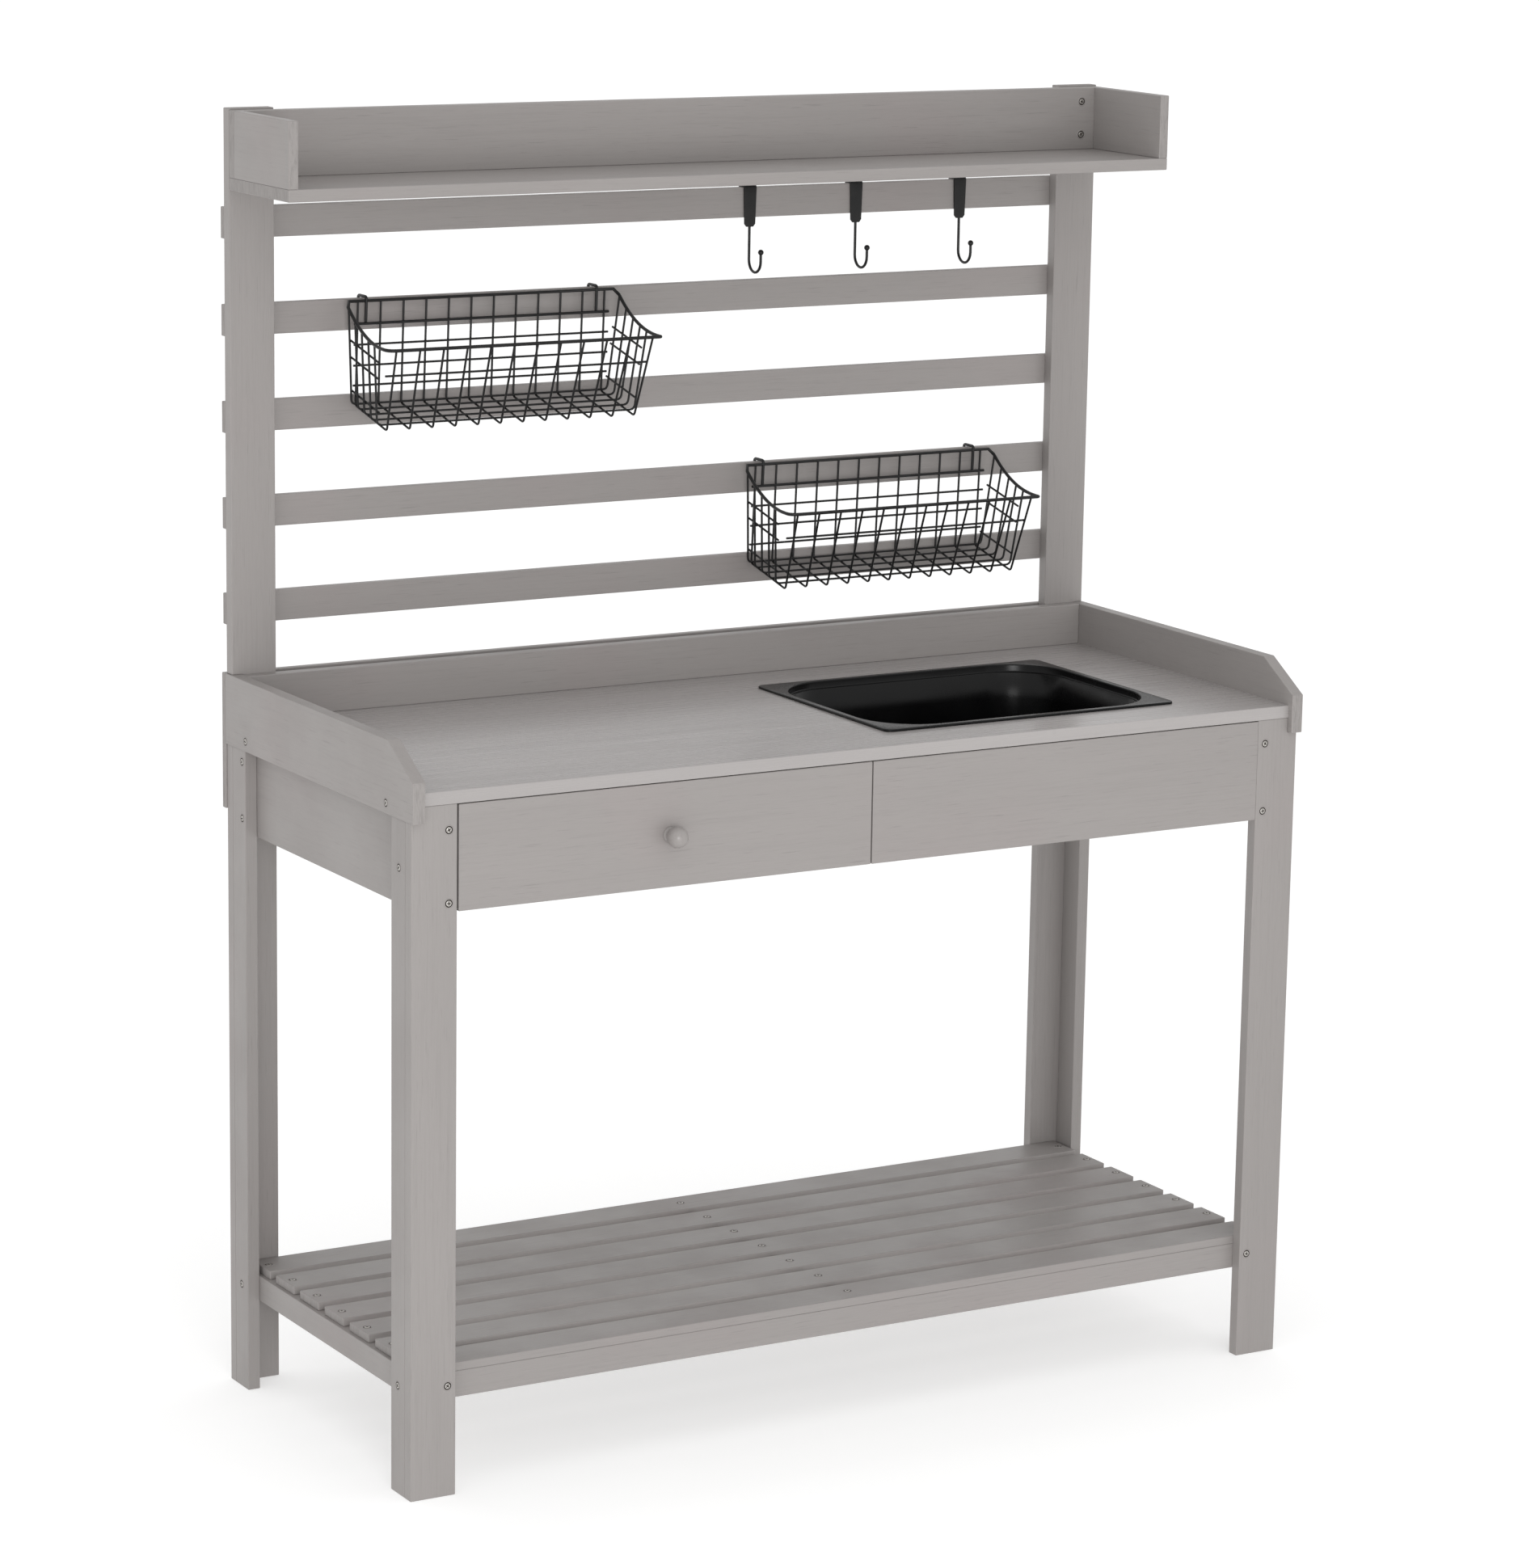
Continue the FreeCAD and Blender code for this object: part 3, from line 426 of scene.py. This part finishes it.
# the floor: how deep it is and how far it falls to the front
FLOOR_DEEP, FLOOR_FALL = 82 * MM, 19 * MM
HANGER_INSET, HANGER_BEND = 26 * MM, 4 * MM
HANGER_ABOVE_SLAT, HANGER_LIP = 0.8 * MM, 18 * MM
CROSS_WIRES, CROSS_PITCH = 12, 29 * MM
CROSS_BEND = 4.5 * MM
FRONT_SPLAY, FRONT_TUCK = 1.03, 1 * MM
# floor wires: how far each is from the heel, and how far forward of its foot it meets the rim
FLOOR_WIRES = (3 * MM, 20 * MM, 37 * MM, 54 * MM, 70 * MM)
FLOOR_WIRE_BEND = 6 * MM
END_WIRE_LEAN = 12 * MM
END_INSET = 9 * MM
# rails: how far down from the rim on the back and front, and how far up from the floor at the ends
BACK_RAILS = (26 * MM, 50 * MM, 74 * MM, 97 * MM)
FRONT_RAIL = 30 * MM
END_RAILS = (18 * MM, 58 * MM, 78 * MM)
RAIL_STUB, END_RAIL_STUB = 5 * MM, 2 * MM
# wires that cross lie one wire's thickness apart, and a rail's own gap is a little less
WIRE_LIFT = 2 * MESH_RADIUS
RAIL_GAP = WIRE_LIFT * 0.9
BEND_STEPS = 6


class Basket:
    """A basket's main places, read from its CAD boxes, and the paths of its bent wires."""

    def __init__(self, name, slat):
        rim_low, rim_high = (Vector(corner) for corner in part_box(name + "_rim"))
        mesh_low, mesh_high = (Vector(corner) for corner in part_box(name + "_mesh"))
        slat_high = Vector(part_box(slat)[1])
        self.left, self.right = rim_low.x + RIM_RADIUS, rim_high.x - RIM_RADIUS
        self.middle = (self.left + self.right) / 2
        self.front = rim_low.y + RIM_RADIUS
        self.back = self.front + RIM_DEEP
        self.behind = rim_high.y - HANGER_RADIUS
        self.over = slat_high.z + HANGER_RADIUS + HANGER_ABOVE_SLAT
        self.top = slat_high.z - RIM_RADIUS
        self.rim_front = self.top - RIM_DROP
        self.heel = Vector((0, mesh_high.y - MESH_RADIUS, mesh_low.z + MESH_RADIUS + FLOOR_FALL))
        self.toe = Vector((0, self.heel.y - FLOOR_DEEP, self.heel.z - FLOOR_FALL))
        self.lean = (self.heel.y - self.back) / (self.top - self.heel.z)
        first = self.middle - CROSS_PITCH * (CROSS_WIRES - 1) / 2
        self.across = [first + CROSS_PITCH * n for n in range(CROSS_WIRES)]

    def rim_height(self, y):
        share = min(1, max(0, (self.back - y) / RIM_DEEP))
        return self.top - RIM_DROP * (1 - (1 - share) ** RIM_BOW)

    def floor_height(self, y):
        return self.heel.z - FLOOR_FALL * (self.heel.y - y) / (self.heel.y - self.toe.y)

    def rim(self):
        """A straight back, two ends that dip to the front, a rounded left corner and a sharp right one."""
        left, right, front, height = self.left, self.right, self.front, self.rim_height
        ends = [self.back - RIM_DEEP * n / RIM_STEPS for n in range(RIM_STEPS + 1)]
        loop = [(left + RIM_BACK_END, self.back, self.top), (right - RIM_BACK_END, self.back, self.top)]
        loop += [(right, y, height(y)) for y in ends[1:-1]]
        loop += bent([(right, ends[-2], height(ends[-2])), (right, front, self.rim_front),
                      (right - RIM_SHARP_RUN, front, self.rim_front)], RIM_SHARP_CORNER)[1:-1]
        loop += bent([(left + RIM_ROUND_RUN, front, self.rim_front), (left, front, self.rim_front),
                      (left, ends[-4], height(ends[-4]))], RIM_ROUND_CORNER)[1:-1]
        loop += [(left, y, height(y)) for y in reversed(ends[1:-3])]
        return [(loop, True)]

    def hangers(self):
        """Two hangers, each from the upper back rail over the slat to a short lip behind it."""
        back, over, drop = self.back, self.over, BACK_RAILS[0]
        for x in (self.left + HANGER_INSET, self.right - HANGER_INSET):
            route = [(x, back + self.lean * drop, self.top - drop), (x, back, self.top),
                     (x, back, over), (x, self.behind, over), (x, self.behind, over - HANGER_LIP)]
            yield bent(route, HANGER_BEND), False

    def cross_wires(self):
        """Down the back, along the floor to a tight bend at the toe, and up the leaning front."""
        for x in self.across:
            splayed = self.middle + (x - self.middle) * FRONT_SPLAY
            route = [(x, self.back, self.top), (x, self.heel.y, self.heel.z), (x, self.toe.y, self.toe.z),
                     (splayed, self.front + FRONT_TUCK, self.rim_front)]
            yield bent(route, CROSS_BEND, BEND_STEPS), False

    def floor_wires(self):
        """These lie on the cross wires and turn up at both ends to reach the rim."""
        for reach in FLOOR_WIRES:
            y = self.heel.y - reach
            foot = self.floor_height(y) + WIRE_LIFT
            top_y = max(self.front, min(self.back, y - END_WIRE_LEAN))
            top = self.rim_height(top_y)
            route = [(self.left, top_y, top), (self.left + END_INSET, y, foot),
                     (self.right - END_INSET, y, foot), (self.right, top_y, top)]
            yield bent(route, FLOOR_WIRE_BEND, BEND_STEPS), False

    def back_rails(self):
        for drop in BACK_RAILS:
            y, z = self.back + self.lean * drop - RAIL_GAP, self.top - drop
            ends = (self.across[0] - RAIL_STUB, self.across[-1] + RAIL_STUB)
            yield [Vector((x, y, z)) for x in ends], False

    def front_rail(self):
        """From the left end's wires to the last cross wire."""
        share = FRONT_RAIL / (self.rim_front - self.toe.z)
        y = self.front + (self.toe.y - self.front) * share + RAIL_GAP
        z = self.rim_front - FRONT_RAIL
        ends = (self.left + END_INSET * share, self.across[-1] + RAIL_STUB)
        yield [Vector((x, y, z)) for x in ends], False

    def end_rails(self):
        """Rails on each end, which run along with the falling floor."""
        for rise in END_RAILS:
            height = rise / (self.top - self.heel.z)
            rear = self.heel.y - FLOOR_WIRES[0] + END_RAIL_STUB - END_WIRE_LEAN * height
            fore = self.heel.y - FLOOR_WIRES[-1] - END_RAIL_STUB - END_WIRE_LEAN * height
            inset = END_INSET * (1 - height) + RAIL_GAP
            for x in (self.left + inset, self.right - inset):
                yield [Vector((x, y, self.floor_height(y) + rise)) for y in (rear, fore)], False


def basket(name, slat):
    """A basket of bent round wires on its slat, as four pieces: rim, hangers, heavy rail and the rest."""
    wires = Basket(name, slat)
    rim = wire_piece(name + "_rim_wire", wires.rim(), RIM_RADIUS, WIRE)
    finish_piece(rim, name, [name + "_rim"])
    hangers = wire_piece(name + "_hangers", wires.hangers(), HANGER_RADIUS, WIRE)
    finish_piece(hangers, name)
    heavy_rail, *thin_rails = wires.back_rails()
    heavy = wire_piece(name + "_back_rail", [heavy_rail], BACK_RAIL_RADIUS, WIRE)
    finish_piece(heavy, name)
    thin = [*wires.cross_wires(), *wires.floor_wires(), *thin_rails, *wires.front_rail(), *wires.end_rails()]
    mesh = wire_piece(name + "_wires", thin, MESH_RADIUS, WIRE)
    finish_piece(mesh, name, [name + "_mesh"])


basket("basket_upper", "back_slat_2")
basket("basket_lower", "back_slat_4")

# ---- hooks ----------------------------------------------------------------------------------
STRAP_THICK = 2.4 * MM
STRAP_LOW_WIDE, STRAP_TIP_WIDE = 14.6 * MM, 9 * MM
STRAP_SHOULDER = 3.5 * MM
STRAP_FOLD = 2 * MM
STRAP_GAP = 12 * MM
STRAP_TAPER_STEPS, STRAP_FOLD_STEPS = 4, 3
STRAP_LIP_CUT, STRAP_LIP_TIP = 3 * MM, 0.8
STRAP_ROUNDING, STRAP_SHARP = 0.5 * MM, math.radians(50)
STRAP_BELOW_SLAT, STRAP_BEHIND_SLAT = 11 * MM, 21 * MM
STRAP_CLEAR = 0.3 * MM
HOOK_WIRE = 1.65 * MM
HOOK_BALL = 3.4 * MM
BALL_PRESSED = 0.82
STEM_IN_STRAP, STEM_STRAIGHT = 7 * MM, 4 * MM
BEND_TO_TIP, BEND_TO_BALL = 9 * MM, 11 * MM
HOOK_STEPS = 12


def strap_line(half, high, tip_z, lip_z):
    """The folded strap from its cut tip, up the front, over the slat and down behind it, as (y, z) and
    half the width there."""
    rear = high.y - STRAP_THICK / 2
    front = rear - STRAP_GAP
    roof = high.z - STRAP_THICK / 2
    low_half = STRAP_LOW_WIDE / 2
    shoulder, fold = tip_z + STRAP_SHOULDER, roof - STRAP_FOLD
    line = [((front, tip_z), STRAP_TIP_WIDE / 2)]
    for n in range(STRAP_TAPER_STEPS + 1):
        share = n / STRAP_TAPER_STEPS
        line.append(((front, shoulder + (fold - shoulder) * share), low_half + (half - low_half) * share))
    for sine, cosine in quarter_turn(STRAP_FOLD_STEPS)[1:]:
        line.append(((front + STRAP_FOLD * (1 - cosine), fold + STRAP_FOLD * sine), half))
    for sine, cosine in quarter_turn(STRAP_FOLD_STEPS):
        line.append(((rear - STRAP_FOLD * (1 - sine), fold + STRAP_FOLD * cosine), half))
    line.append(((rear, lip_z + STRAP_LIP_CUT), half))
    line.append(((rear, lip_z), half * STRAP_LIP_TIP))
    return line


def strap(name, low, high, tip_z, lip_z):
    """The strap as one thick strip along its line, with its edges rounded."""
    middle = (low.x + high.x) / 2
    line = strap_line((high.x - low.x) / 2, high, tip_z, lip_z)
    mesh = bmesh.new()
    rings = []
    for index, ((y, z), wide) in enumerate(line):
        previous, following = line[max(index - 1, 0)][0], line[min(index + 1, len(line) - 1)][0]
        run = Vector((0, following[0] - previous[0], following[1] - previous[1])).normalized()
        out = Vector((0, -run.z, run.y)) * STRAP_THICK / 2
        rings.append([mesh.verts.new(Vector((middle + side * wide, y, z)) + out * face)
                      for side, face in ((-1, -1), (1, -1), (1, 1), (-1, 1))])
    skin(mesh, rings)
    mesh.faces.new(reversed(rings[0]))
    mesh.faces.new(rings[-1])
    piece = mesh_piece(name, mesh, STRAP)
    rounding = piece.modifiers.new("rounding", "BEVEL")
    rounding.width = STRAP_ROUNDING
    rounding.segments = 3
    rounding.limit_method = "ANGLE"
    rounding.angle_limit = STRAP_SHARP
    return piece


def hook(node):
    """A strap, a bent wire welded behind its tip, and the ball on the wire's end."""
    low, high = (Vector(corner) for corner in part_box(node))
    slat_low, slat_high = (Vector(corner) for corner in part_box("back_slat_1"))
    tip_z = slat_low.z - STRAP_BELOW_SLAT
    plate = strap(node + "_strap", low, high, tip_z, slat_high.z - STRAP_BEHIND_SLAT)
    finish_piece(plate, node, [node])

    middle = (low.x + high.x) / 2
    stem_y = slat_low.y - STRAP_CLEAR - STRAP_THICK + HOOK_WIRE
    nose_y = low.y + HOOK_BALL
    bend_y, radius = (stem_y + nose_y) / 2, (stem_y - nose_y) / 2
    bend_z = low.z + HOOK_WIRE + radius
    route = [Vector((middle, stem_y, z)) for z in (tip_z + STEM_IN_STRAP, bend_z + STEM_STRAIGHT)]
    for step in range(HOOK_STEPS + 1):
        angle = math.pi * step / HOOK_STEPS
        route.append(Vector((middle, bend_y + radius * math.cos(angle), bend_z - radius * math.sin(angle))))
    route.append(Vector((middle, nose_y, bend_z + BEND_TO_TIP)))
    finish_piece(wire_piece(node + "_wire", [(route, False)], HOOK_WIRE, WIRE), node)

    ball = bmesh.new()
    bmesh.ops.create_icosphere(ball, subdivisions=4, radius=HOOK_BALL)
    for vertex in ball.verts:
        # the ball is flattened a little where it was pressed on to the wire
        vertex.co.z = max(vertex.co.z, -HOOK_BALL * BALL_PRESSED)
    bmesh.ops.translate(ball, verts=ball.verts, vec=(middle, nose_y, bend_z + BEND_TO_BALL))
    finish_piece(mesh_piece(node + "_ball", ball, WIRE), node)


for number in (1, 2, 3):
    hook("hook_%d" % number)

# ---- basin ----------------------------------------------------------------------------------
CORNER_STEPS, EDGE_STEPS = 14, 4
BASIN_WALL = 2.5 * MM
BASIN_RIM = 3 * MM
BASIN_TAPER = math.tan(math.radians(6))
# the rim: the corners of its outer edge and of the opening, how round its edges are, how wide it is,
# and a row half way across it, as (inset, corner radius)
RIM_CORNER, MOUTH_CORNER = 9 * MM, 72 * MM
RIM_UNDER_ROUND, RIM_TOP_ROUND = 0.6 * MM, 1.4 * MM
RIM_UNDER_IN, MOUTH_IN = 8 * MM, 7.6 * MM
RIM_MIDDLE = (4 * MM, 30 * MM)
# the step in the wall below the rim, as (inset, corner radius, height above the step)
STEP_BELOW_RIM = 9 * MM
STEP_SECTION = ((9 * MM, 72 * MM, 1.5 * MM), (9.4 * MM, 71.6 * MM, 0.4 * MM), (10.4 * MM, 70.6 * MM, 0),
                (12.2 * MM, 68.8 * MM, -0.1 * MM), (13 * MM, 68 * MM, -0.9 * MM))
WALL_IN, WALL_ROWS = 13 * MM, (0.33, 0.66)
# below the step, a wall's inset and its corner radius always add up to the same
INNER_SUM, OUTER_SUM = 81 * MM, 84 * MM
FLOOR_EDGE, FLOOR_EDGE_STEPS = 14 * MM, 6
# the flat floor, as (distance in from the wall's foot, corner radius)
FLOOR_SECTION = ((30 * MM, 30 * MM), (70 * MM, 20 * MM), (100 * MM, 12 * MM))
OUTER_TOP_IN, OUTER_TOP_CORNER = 6.6 * MM, 74.4 * MM


def rounded_ring(mesh, middle, half_x, half_y, corner, z):
    """A ring of vertices round a rounded rectangle, alike for every size so that rings can be joined."""
    ring = []
    for side_x, side_y, start in ((1, 1, 0), (-1, 1, 90), (-1, -1, 180), (1, -1, 270)):
        for step in range(CORNER_STEPS + 1):
            angle = math.radians(start + 90 * step / CORNER_STEPS)
            ring.append(mesh.verts.new((
                middle.x + side_x * (half_x - corner) + corner * math.cos(angle),
                middle.y + side_y * (half_y - corner) + corner * math.sin(angle), z)))
    return ring


def basin_sections(top, bottom):
    """The moulding's inside, from under the rim to the floor, and its outside, from the floor up. Both
    are rows of inset from the rim's edge, corner radius and height."""
    rim_under, step_z, floor_z = top - BASIN_RIM, top - STEP_BELOW_RIM, bottom + BASIN_WALL
    start_z = floor_z + FLOOR_EDGE
    foot, start_in = (WALL_IN + (step_z - z) * BASIN_TAPER for z in (floor_z, start_z))

    inside = [(RIM_UNDER_IN, MOUTH_CORNER, rim_under), (RIM_UNDER_ROUND, RIM_CORNER, rim_under),
              (0, RIM_CORNER, rim_under + RIM_UNDER_ROUND)]
    inside += [(RIM_TOP_ROUND * (1 - cosine), RIM_CORNER, top - RIM_TOP_ROUND * (1 - sine))
               for sine, cosine in quarter_turn(EDGE_STEPS)]
    inside.append((*RIM_MIDDLE, top))
    inside += [(MOUTH_IN + RIM_TOP_ROUND * sine, MOUTH_CORNER, top - RIM_TOP_ROUND * (1 - cosine))
               for sine, cosine in quarter_turn(EDGE_STEPS)]
    inside += [(inset, corner, step_z + rise) for inset, corner, rise in STEP_SECTION]
    for share in WALL_ROWS:
        z = step_z + (start_z - step_z) * share
        inset = WALL_IN + (step_z - z) * BASIN_TAPER
        inside.append((inset, INNER_SUM - inset, z))
    outer_wall = []
    for sine, cosine in quarter_turn(FLOOR_EDGE_STEPS):
        inset = start_in + FLOOR_EDGE * (1 - cosine)
        inside.append((inset, INNER_SUM - inset, start_z - FLOOR_EDGE * sine))
        inset -= BASIN_WALL
        outer_wall.append((inset, OUTER_SUM - inset, start_z - (FLOOR_EDGE + BASIN_WALL) * sine))
    floor = [(foot + reach, corner, floor_z) for reach, corner in FLOOR_SECTION]
    underside = [(inset, corner, z - BASIN_WALL) for inset, corner, z in reversed(floor)]
    outside = underside + outer_wall[::-1] + [(OUTER_TOP_IN, OUTER_TOP_CORNER, rim_under)]
    return inside + floor, outside


def basin():
    """The moulded basin, with every edge rounded as a moulding's edges are."""
    low, high = (Vector(corner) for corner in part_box("basin"))
    middle = (low + high) / 2
    half_x, half_y = (high.x - low.x) / 2, (high.y - low.y) / 2
    mesh = bmesh.new()
    inside, outside = ([rounded_ring(mesh, middle, half_x - inset, half_y - inset, corner, z)
                        for inset, corner, z in section] for section in basin_sections(high.z, low.z))
    skin(mesh, inside)
    skin(mesh, outside)
    mesh.faces.new(inside[-1])
    mesh.faces.new(outside[0])
    skin(mesh, [outside[-1], inside[0]])
    piece = mesh_piece("basin_moulding", mesh, PLASTIC)
    finish_piece(piece, "basin", ["basin"])


basin()

# ---- knob -----------------------------------------------------------------------------------
# the knob's foot and neck, as (radius, distance out from the drawer's face)
KNOB_FOOT = ((8.6 * MM, 0), (9.0 * MM, 0.5 * MM), (8.6 * MM, 1.2 * MM), (7.2 * MM, 2.2 * MM),
             (6.4 * MM, 3.6 * MM), (6.3 * MM, 5.2 * MM))
KNOB_NECK = 6.6 * MM
KNOB_TIP = 0.2 * MM
KNOB_STEPS, KNOB_SECTORS = 22, 64


def knob():
    """A turned ball on a short neck, whose axis points forward from the drawer's face."""
    low, high = (Vector(corner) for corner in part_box("drawer_knob"))
    centre = (low + high) / 2
    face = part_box("drawer_front")[0][1]
    radius = (high.z - low.z) / 2
    ball_out = face - low.y - radius
    profile = list(KNOB_FOOT)
    start = math.asin(KNOB_NECK / radius)
    for step in range(KNOB_STEPS):
        angle = start + (math.pi - start) * step / KNOB_STEPS
        profile.append((radius * math.sin(angle), ball_out - radius * math.cos(angle)))
    profile.append((KNOB_TIP, ball_out + radius))

    mesh = bmesh.new()
    rings = [[mesh.verts.new((centre.x + size * cosine, face - out, centre.z + size * sine))
              for cosine, sine in circle(KNOB_SECTORS)] for size, out in profile]
    skin(mesh, rings)
    mesh.faces.new(rings[0])
    mesh.faces.new(rings[-1])
    piece = mesh_piece("drawer_knob_turned", mesh, KNOB)
    finish_piece(piece, "drawer", ["drawer_knob"])


knob()

# ---- screws ---------------------------------------------------------------------------------
SCREW_RADIUS, SCREW_PROUD = 3.2 * MM, 0.62 * MM
HEAD_CURVE = 0.45
SCREW_RINGS, SCREW_SECTORS = 12, 48
# each screw's cross is turned this many degrees on from the one before
SCREW_SPIN = 37
RECESS_LONG, RECESS_WIDE, RECESS_DEEP = 2.0 * MM, 0.6 * MM, 0.50 * MM
# how wide the recess's sloping edge is, and how far down it, of its whole depth, the painted shade starts
RECESS_EDGE, RECESS_SHADED = 0.16 * MM, 0.35
# the bottom of the hole round the head, then the side that goes into the board, both coloured with painted
# shade
SCREW_HOLE = 4.5 * MM
HOLE_SECTION = ((SCREW_RADIUS, 0.08 * MM), (SCREW_HOLE, 0.04 * MM), (SCREW_HOLE, -0.2 * MM))
# radius and height of the paint round a driven screw, outside to inside
LIP_SECTION = ((5.7 * MM, 0), (5.4 * MM, 0.2 * MM), (5.15 * MM, 0.42 * MM), (4.95 * MM, 0.48 * MM),
               (4.75 * MM, 0.42 * MM), (4.5 * MM, 0.22 * MM), (4.4 * MM, 0.06 * MM),
               (4.4 * MM, -0.2 * MM), (5.7 * MM, -0.2 * MM))
LIP_SECTORS = 40
# these groups face forward. Screws in the ends of the bench face out, and the rest face back or up
FRONT_FACING = ("front_screws", "top_shelf_screws")


def island_boxes(node):
    """The box round each separate solid in a node, read from its mesh."""
    mesh = bmesh.new()
    mesh.from_mesh(NODES[node].data)
    bmesh.ops.remove_doubles(mesh, verts=mesh.verts, dist=0.01 * MM)
    unseen = set(mesh.verts)
    boxes = []
    while unseen:
        stack = [unseen.pop()]
        found = list(stack)
        while stack:
            for edge in stack.pop().link_edges:
                for vertex in edge.verts:
                    if vertex in unseen:
                        unseen.remove(vertex)
                        stack.append(vertex)
                        found.append(vertex)
        low = Vector(min(v.co[axis] for v in found) for axis in range(3))
        high = Vector(max(v.co[axis] for v in found) for axis in range(3))
        boxes.append((low, high))
    mesh.free()
    return sorted(boxes, key=lambda pair: tuple(round(c, 4) for c in pair[0]))


def slot_depth(length, width):
    """How deep one slot of the recess is, at a distance along it and across it, from 0 to 1."""
    inside_length = min(1, max(0, (RECESS_LONG - abs(length)) / RECESS_EDGE))
    inside_width = min(1, max(0, (RECESS_WIDE - abs(width)) / RECESS_EDGE))
    return min(inside_length, inside_width)


def add_head(mesh, place, normal, spin):
    """A countersunk cross-head screw head: a low dome with a recess, in a hole whose floor is coloured with
    painted shade.
    """
    across = Matrix.Rotation(spin, 3, normal) @ normal.orthogonal().normalized()
    up = normal.cross(across)

    def point(x, y, z):
        return mesh.verts.new(place + across * x + up * y + normal * z)

    rings = []
    for ring in range(1, SCREW_RINGS + 1):
        share = ring / SCREW_RINGS
        dome = SCREW_PROUD * (1 - HEAD_CURVE * share ** 4)
        row = []
        for cosine, sine in circle(SCREW_SECTORS):
            x, y = SCREW_RADIUS * share * cosine, SCREW_RADIUS * share * sine
            row.append(point(x, y, dome - RECESS_DEEP * max(slot_depth(x, y), slot_depth(y, x))))
        rings.append(row)
    for radius, height in HOLE_SECTION:
        rings.append([point(radius * cosine, radius * sine, height)
                      for cosine, sine in circle(SCREW_SECTORS)])
    centre = point(0, 0, SCREW_PROUD - RECESS_DEEP)
    recess_top = SCREW_PROUD - RECESS_DEEP * RECESS_SHADED
    for index in range(SCREW_SECTORS):
        after = (index + 1) % SCREW_SECTORS
        mesh.faces.new((centre, rings[0][index], rings[0][after])).material_index = 1
        for number, (ring, following) in enumerate(zip(rings, rings[1:])):
            face = mesh.faces.new((ring[index], following[index], following[after], ring[after]))
            from_place = face.calc_center_median() - place
            height = from_place.dot(normal)
            spread = (from_place - normal * height).length
            # the deeper part of the recess and the hole get the second material, painted shade
            in_recess = height < recess_top and spread < RECESS_LONG
            in_hole = number >= SCREW_RINGS
            face.material_index = 1 if in_recess or in_hole else 0
    mesh.faces.new(rings[-1])


def add_lip(mesh, place, normal):
    """The crater of paint and wood fibre that a driven screw pushes up round its head."""
    side = normal.orthogonal().normalized()
    up = normal.cross(side)
    rings = [[mesh.verts.new(place + (side * cosine + up * sine) * radius + normal * height)
              for cosine, sine in circle(LIP_SECTORS)] for radius, height in LIP_SECTION]
    skin(mesh, rings + rings[:1])


def screws(node):
    """Detailed heads in place of a group of plain CAD ones, each facing out from its board."""
    heads, lips = bmesh.new(), bmesh.new()
    group_low, group_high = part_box(node)
    middle_x = (group_low[0] + group_high[0]) / 2
    for number, (low, high) in enumerate(island_boxes(node)):
        size = high - low
        axis = min(range(3), key=lambda n: size[n])
        sign = -1 if node in FRONT_FACING else 1
        if axis == 0:
            sign = 1 if low.x > middle_x else -1
        normal = Vector([sign if n == axis else 0 for n in range(3)])
        place = (low + high) / 2
        place[axis] = low[axis] if sign > 0 else high[axis]
        add_head(heads, place, normal, math.radians(SCREW_SPIN * number))
        add_lip(lips, place, normal)
    piece = mesh_piece(node + "_heads", heads, ZINC)
    # the second material is painted shade for the recesses and holes
    piece.data.materials.append(RECESS_PAINTED_SHADE)
    finish_piece(piece, "root", [node])
    finish_piece(mesh_piece(node + "_paint_lips", lips, BOARD["Z"]), "root")


for node in ("front_screws", "side_screws", "shelf_screws", "top_shelf_screws", "rear_screws"):
    screws(node)


# ---- stage and light ------------------------------------------------------------------------
FLOOR_HALF_SIZE = 60
WALL_LIGHT, CEILING_LIGHT = 0.90, 0.86
# each lamp: name, place, what it points at, size and power
LAMPS = (("key", (-1.5, -3.7, 1.05), (0, 0, 0.6), (1.2, 1.2), 40),
         ("top", (-0.3, -1.9, 3.2), (0, -0.1, 0.5), (2.4, 1.6), 5))


def area_light(name, place, target, size, power):
    data = bpy.data.lights.new(name, "AREA")
    data.shape = "RECTANGLE"
    data.size, data.size_y = size
    data.energy = power
    light = bpy.data.objects.new(name, data)
    light.location = place
    light.rotation_euler = (Vector(target) - Vector(place)).to_track_quat("-Z", "Y").to_euler()
    bpy.context.scene.collection.objects.link(light)


def make_world():
    """A white studio, a little brighter round its walls than overhead."""
    world = bpy.data.worlds.new("studio")
    world.use_nodes = True
    tree = world.node_tree
    background = tree.nodes["Background"]
    direction = tree.nodes.new("ShaderNodeTexCoord")
    upward = tree.nodes.new("ShaderNodeSeparateXYZ")
    level = tree.nodes.new("ShaderNodeMapRange")
    level.inputs["To Min"].default_value = WALL_LIGHT
    level.inputs["To Max"].default_value = CEILING_LIGHT
    tree.links.new(direction.outputs["Generated"], upward.inputs[0])
    tree.links.new(upward.outputs["Z"], level.inputs["Value"])
    tree.links.new(level.outputs[0], background.inputs["Strength"])
    background.inputs["Color"].default_value = (1.0, 1.0, 1.0, 1)
    bpy.context.scene.world = world


def make_stage():
    mesh = bmesh.new()
    bmesh.ops.create_grid(mesh, x_segments=1, y_segments=1, size=FLOOR_HALF_SIZE)
    floor = mesh_piece("floor", mesh, floor_paint(), smooth=False)
    make_world()
    bpy.context.scene.view_settings.view_transform = "Standard"
    for lamp in LAMPS:
        area_light(*lamp)


make_stage()
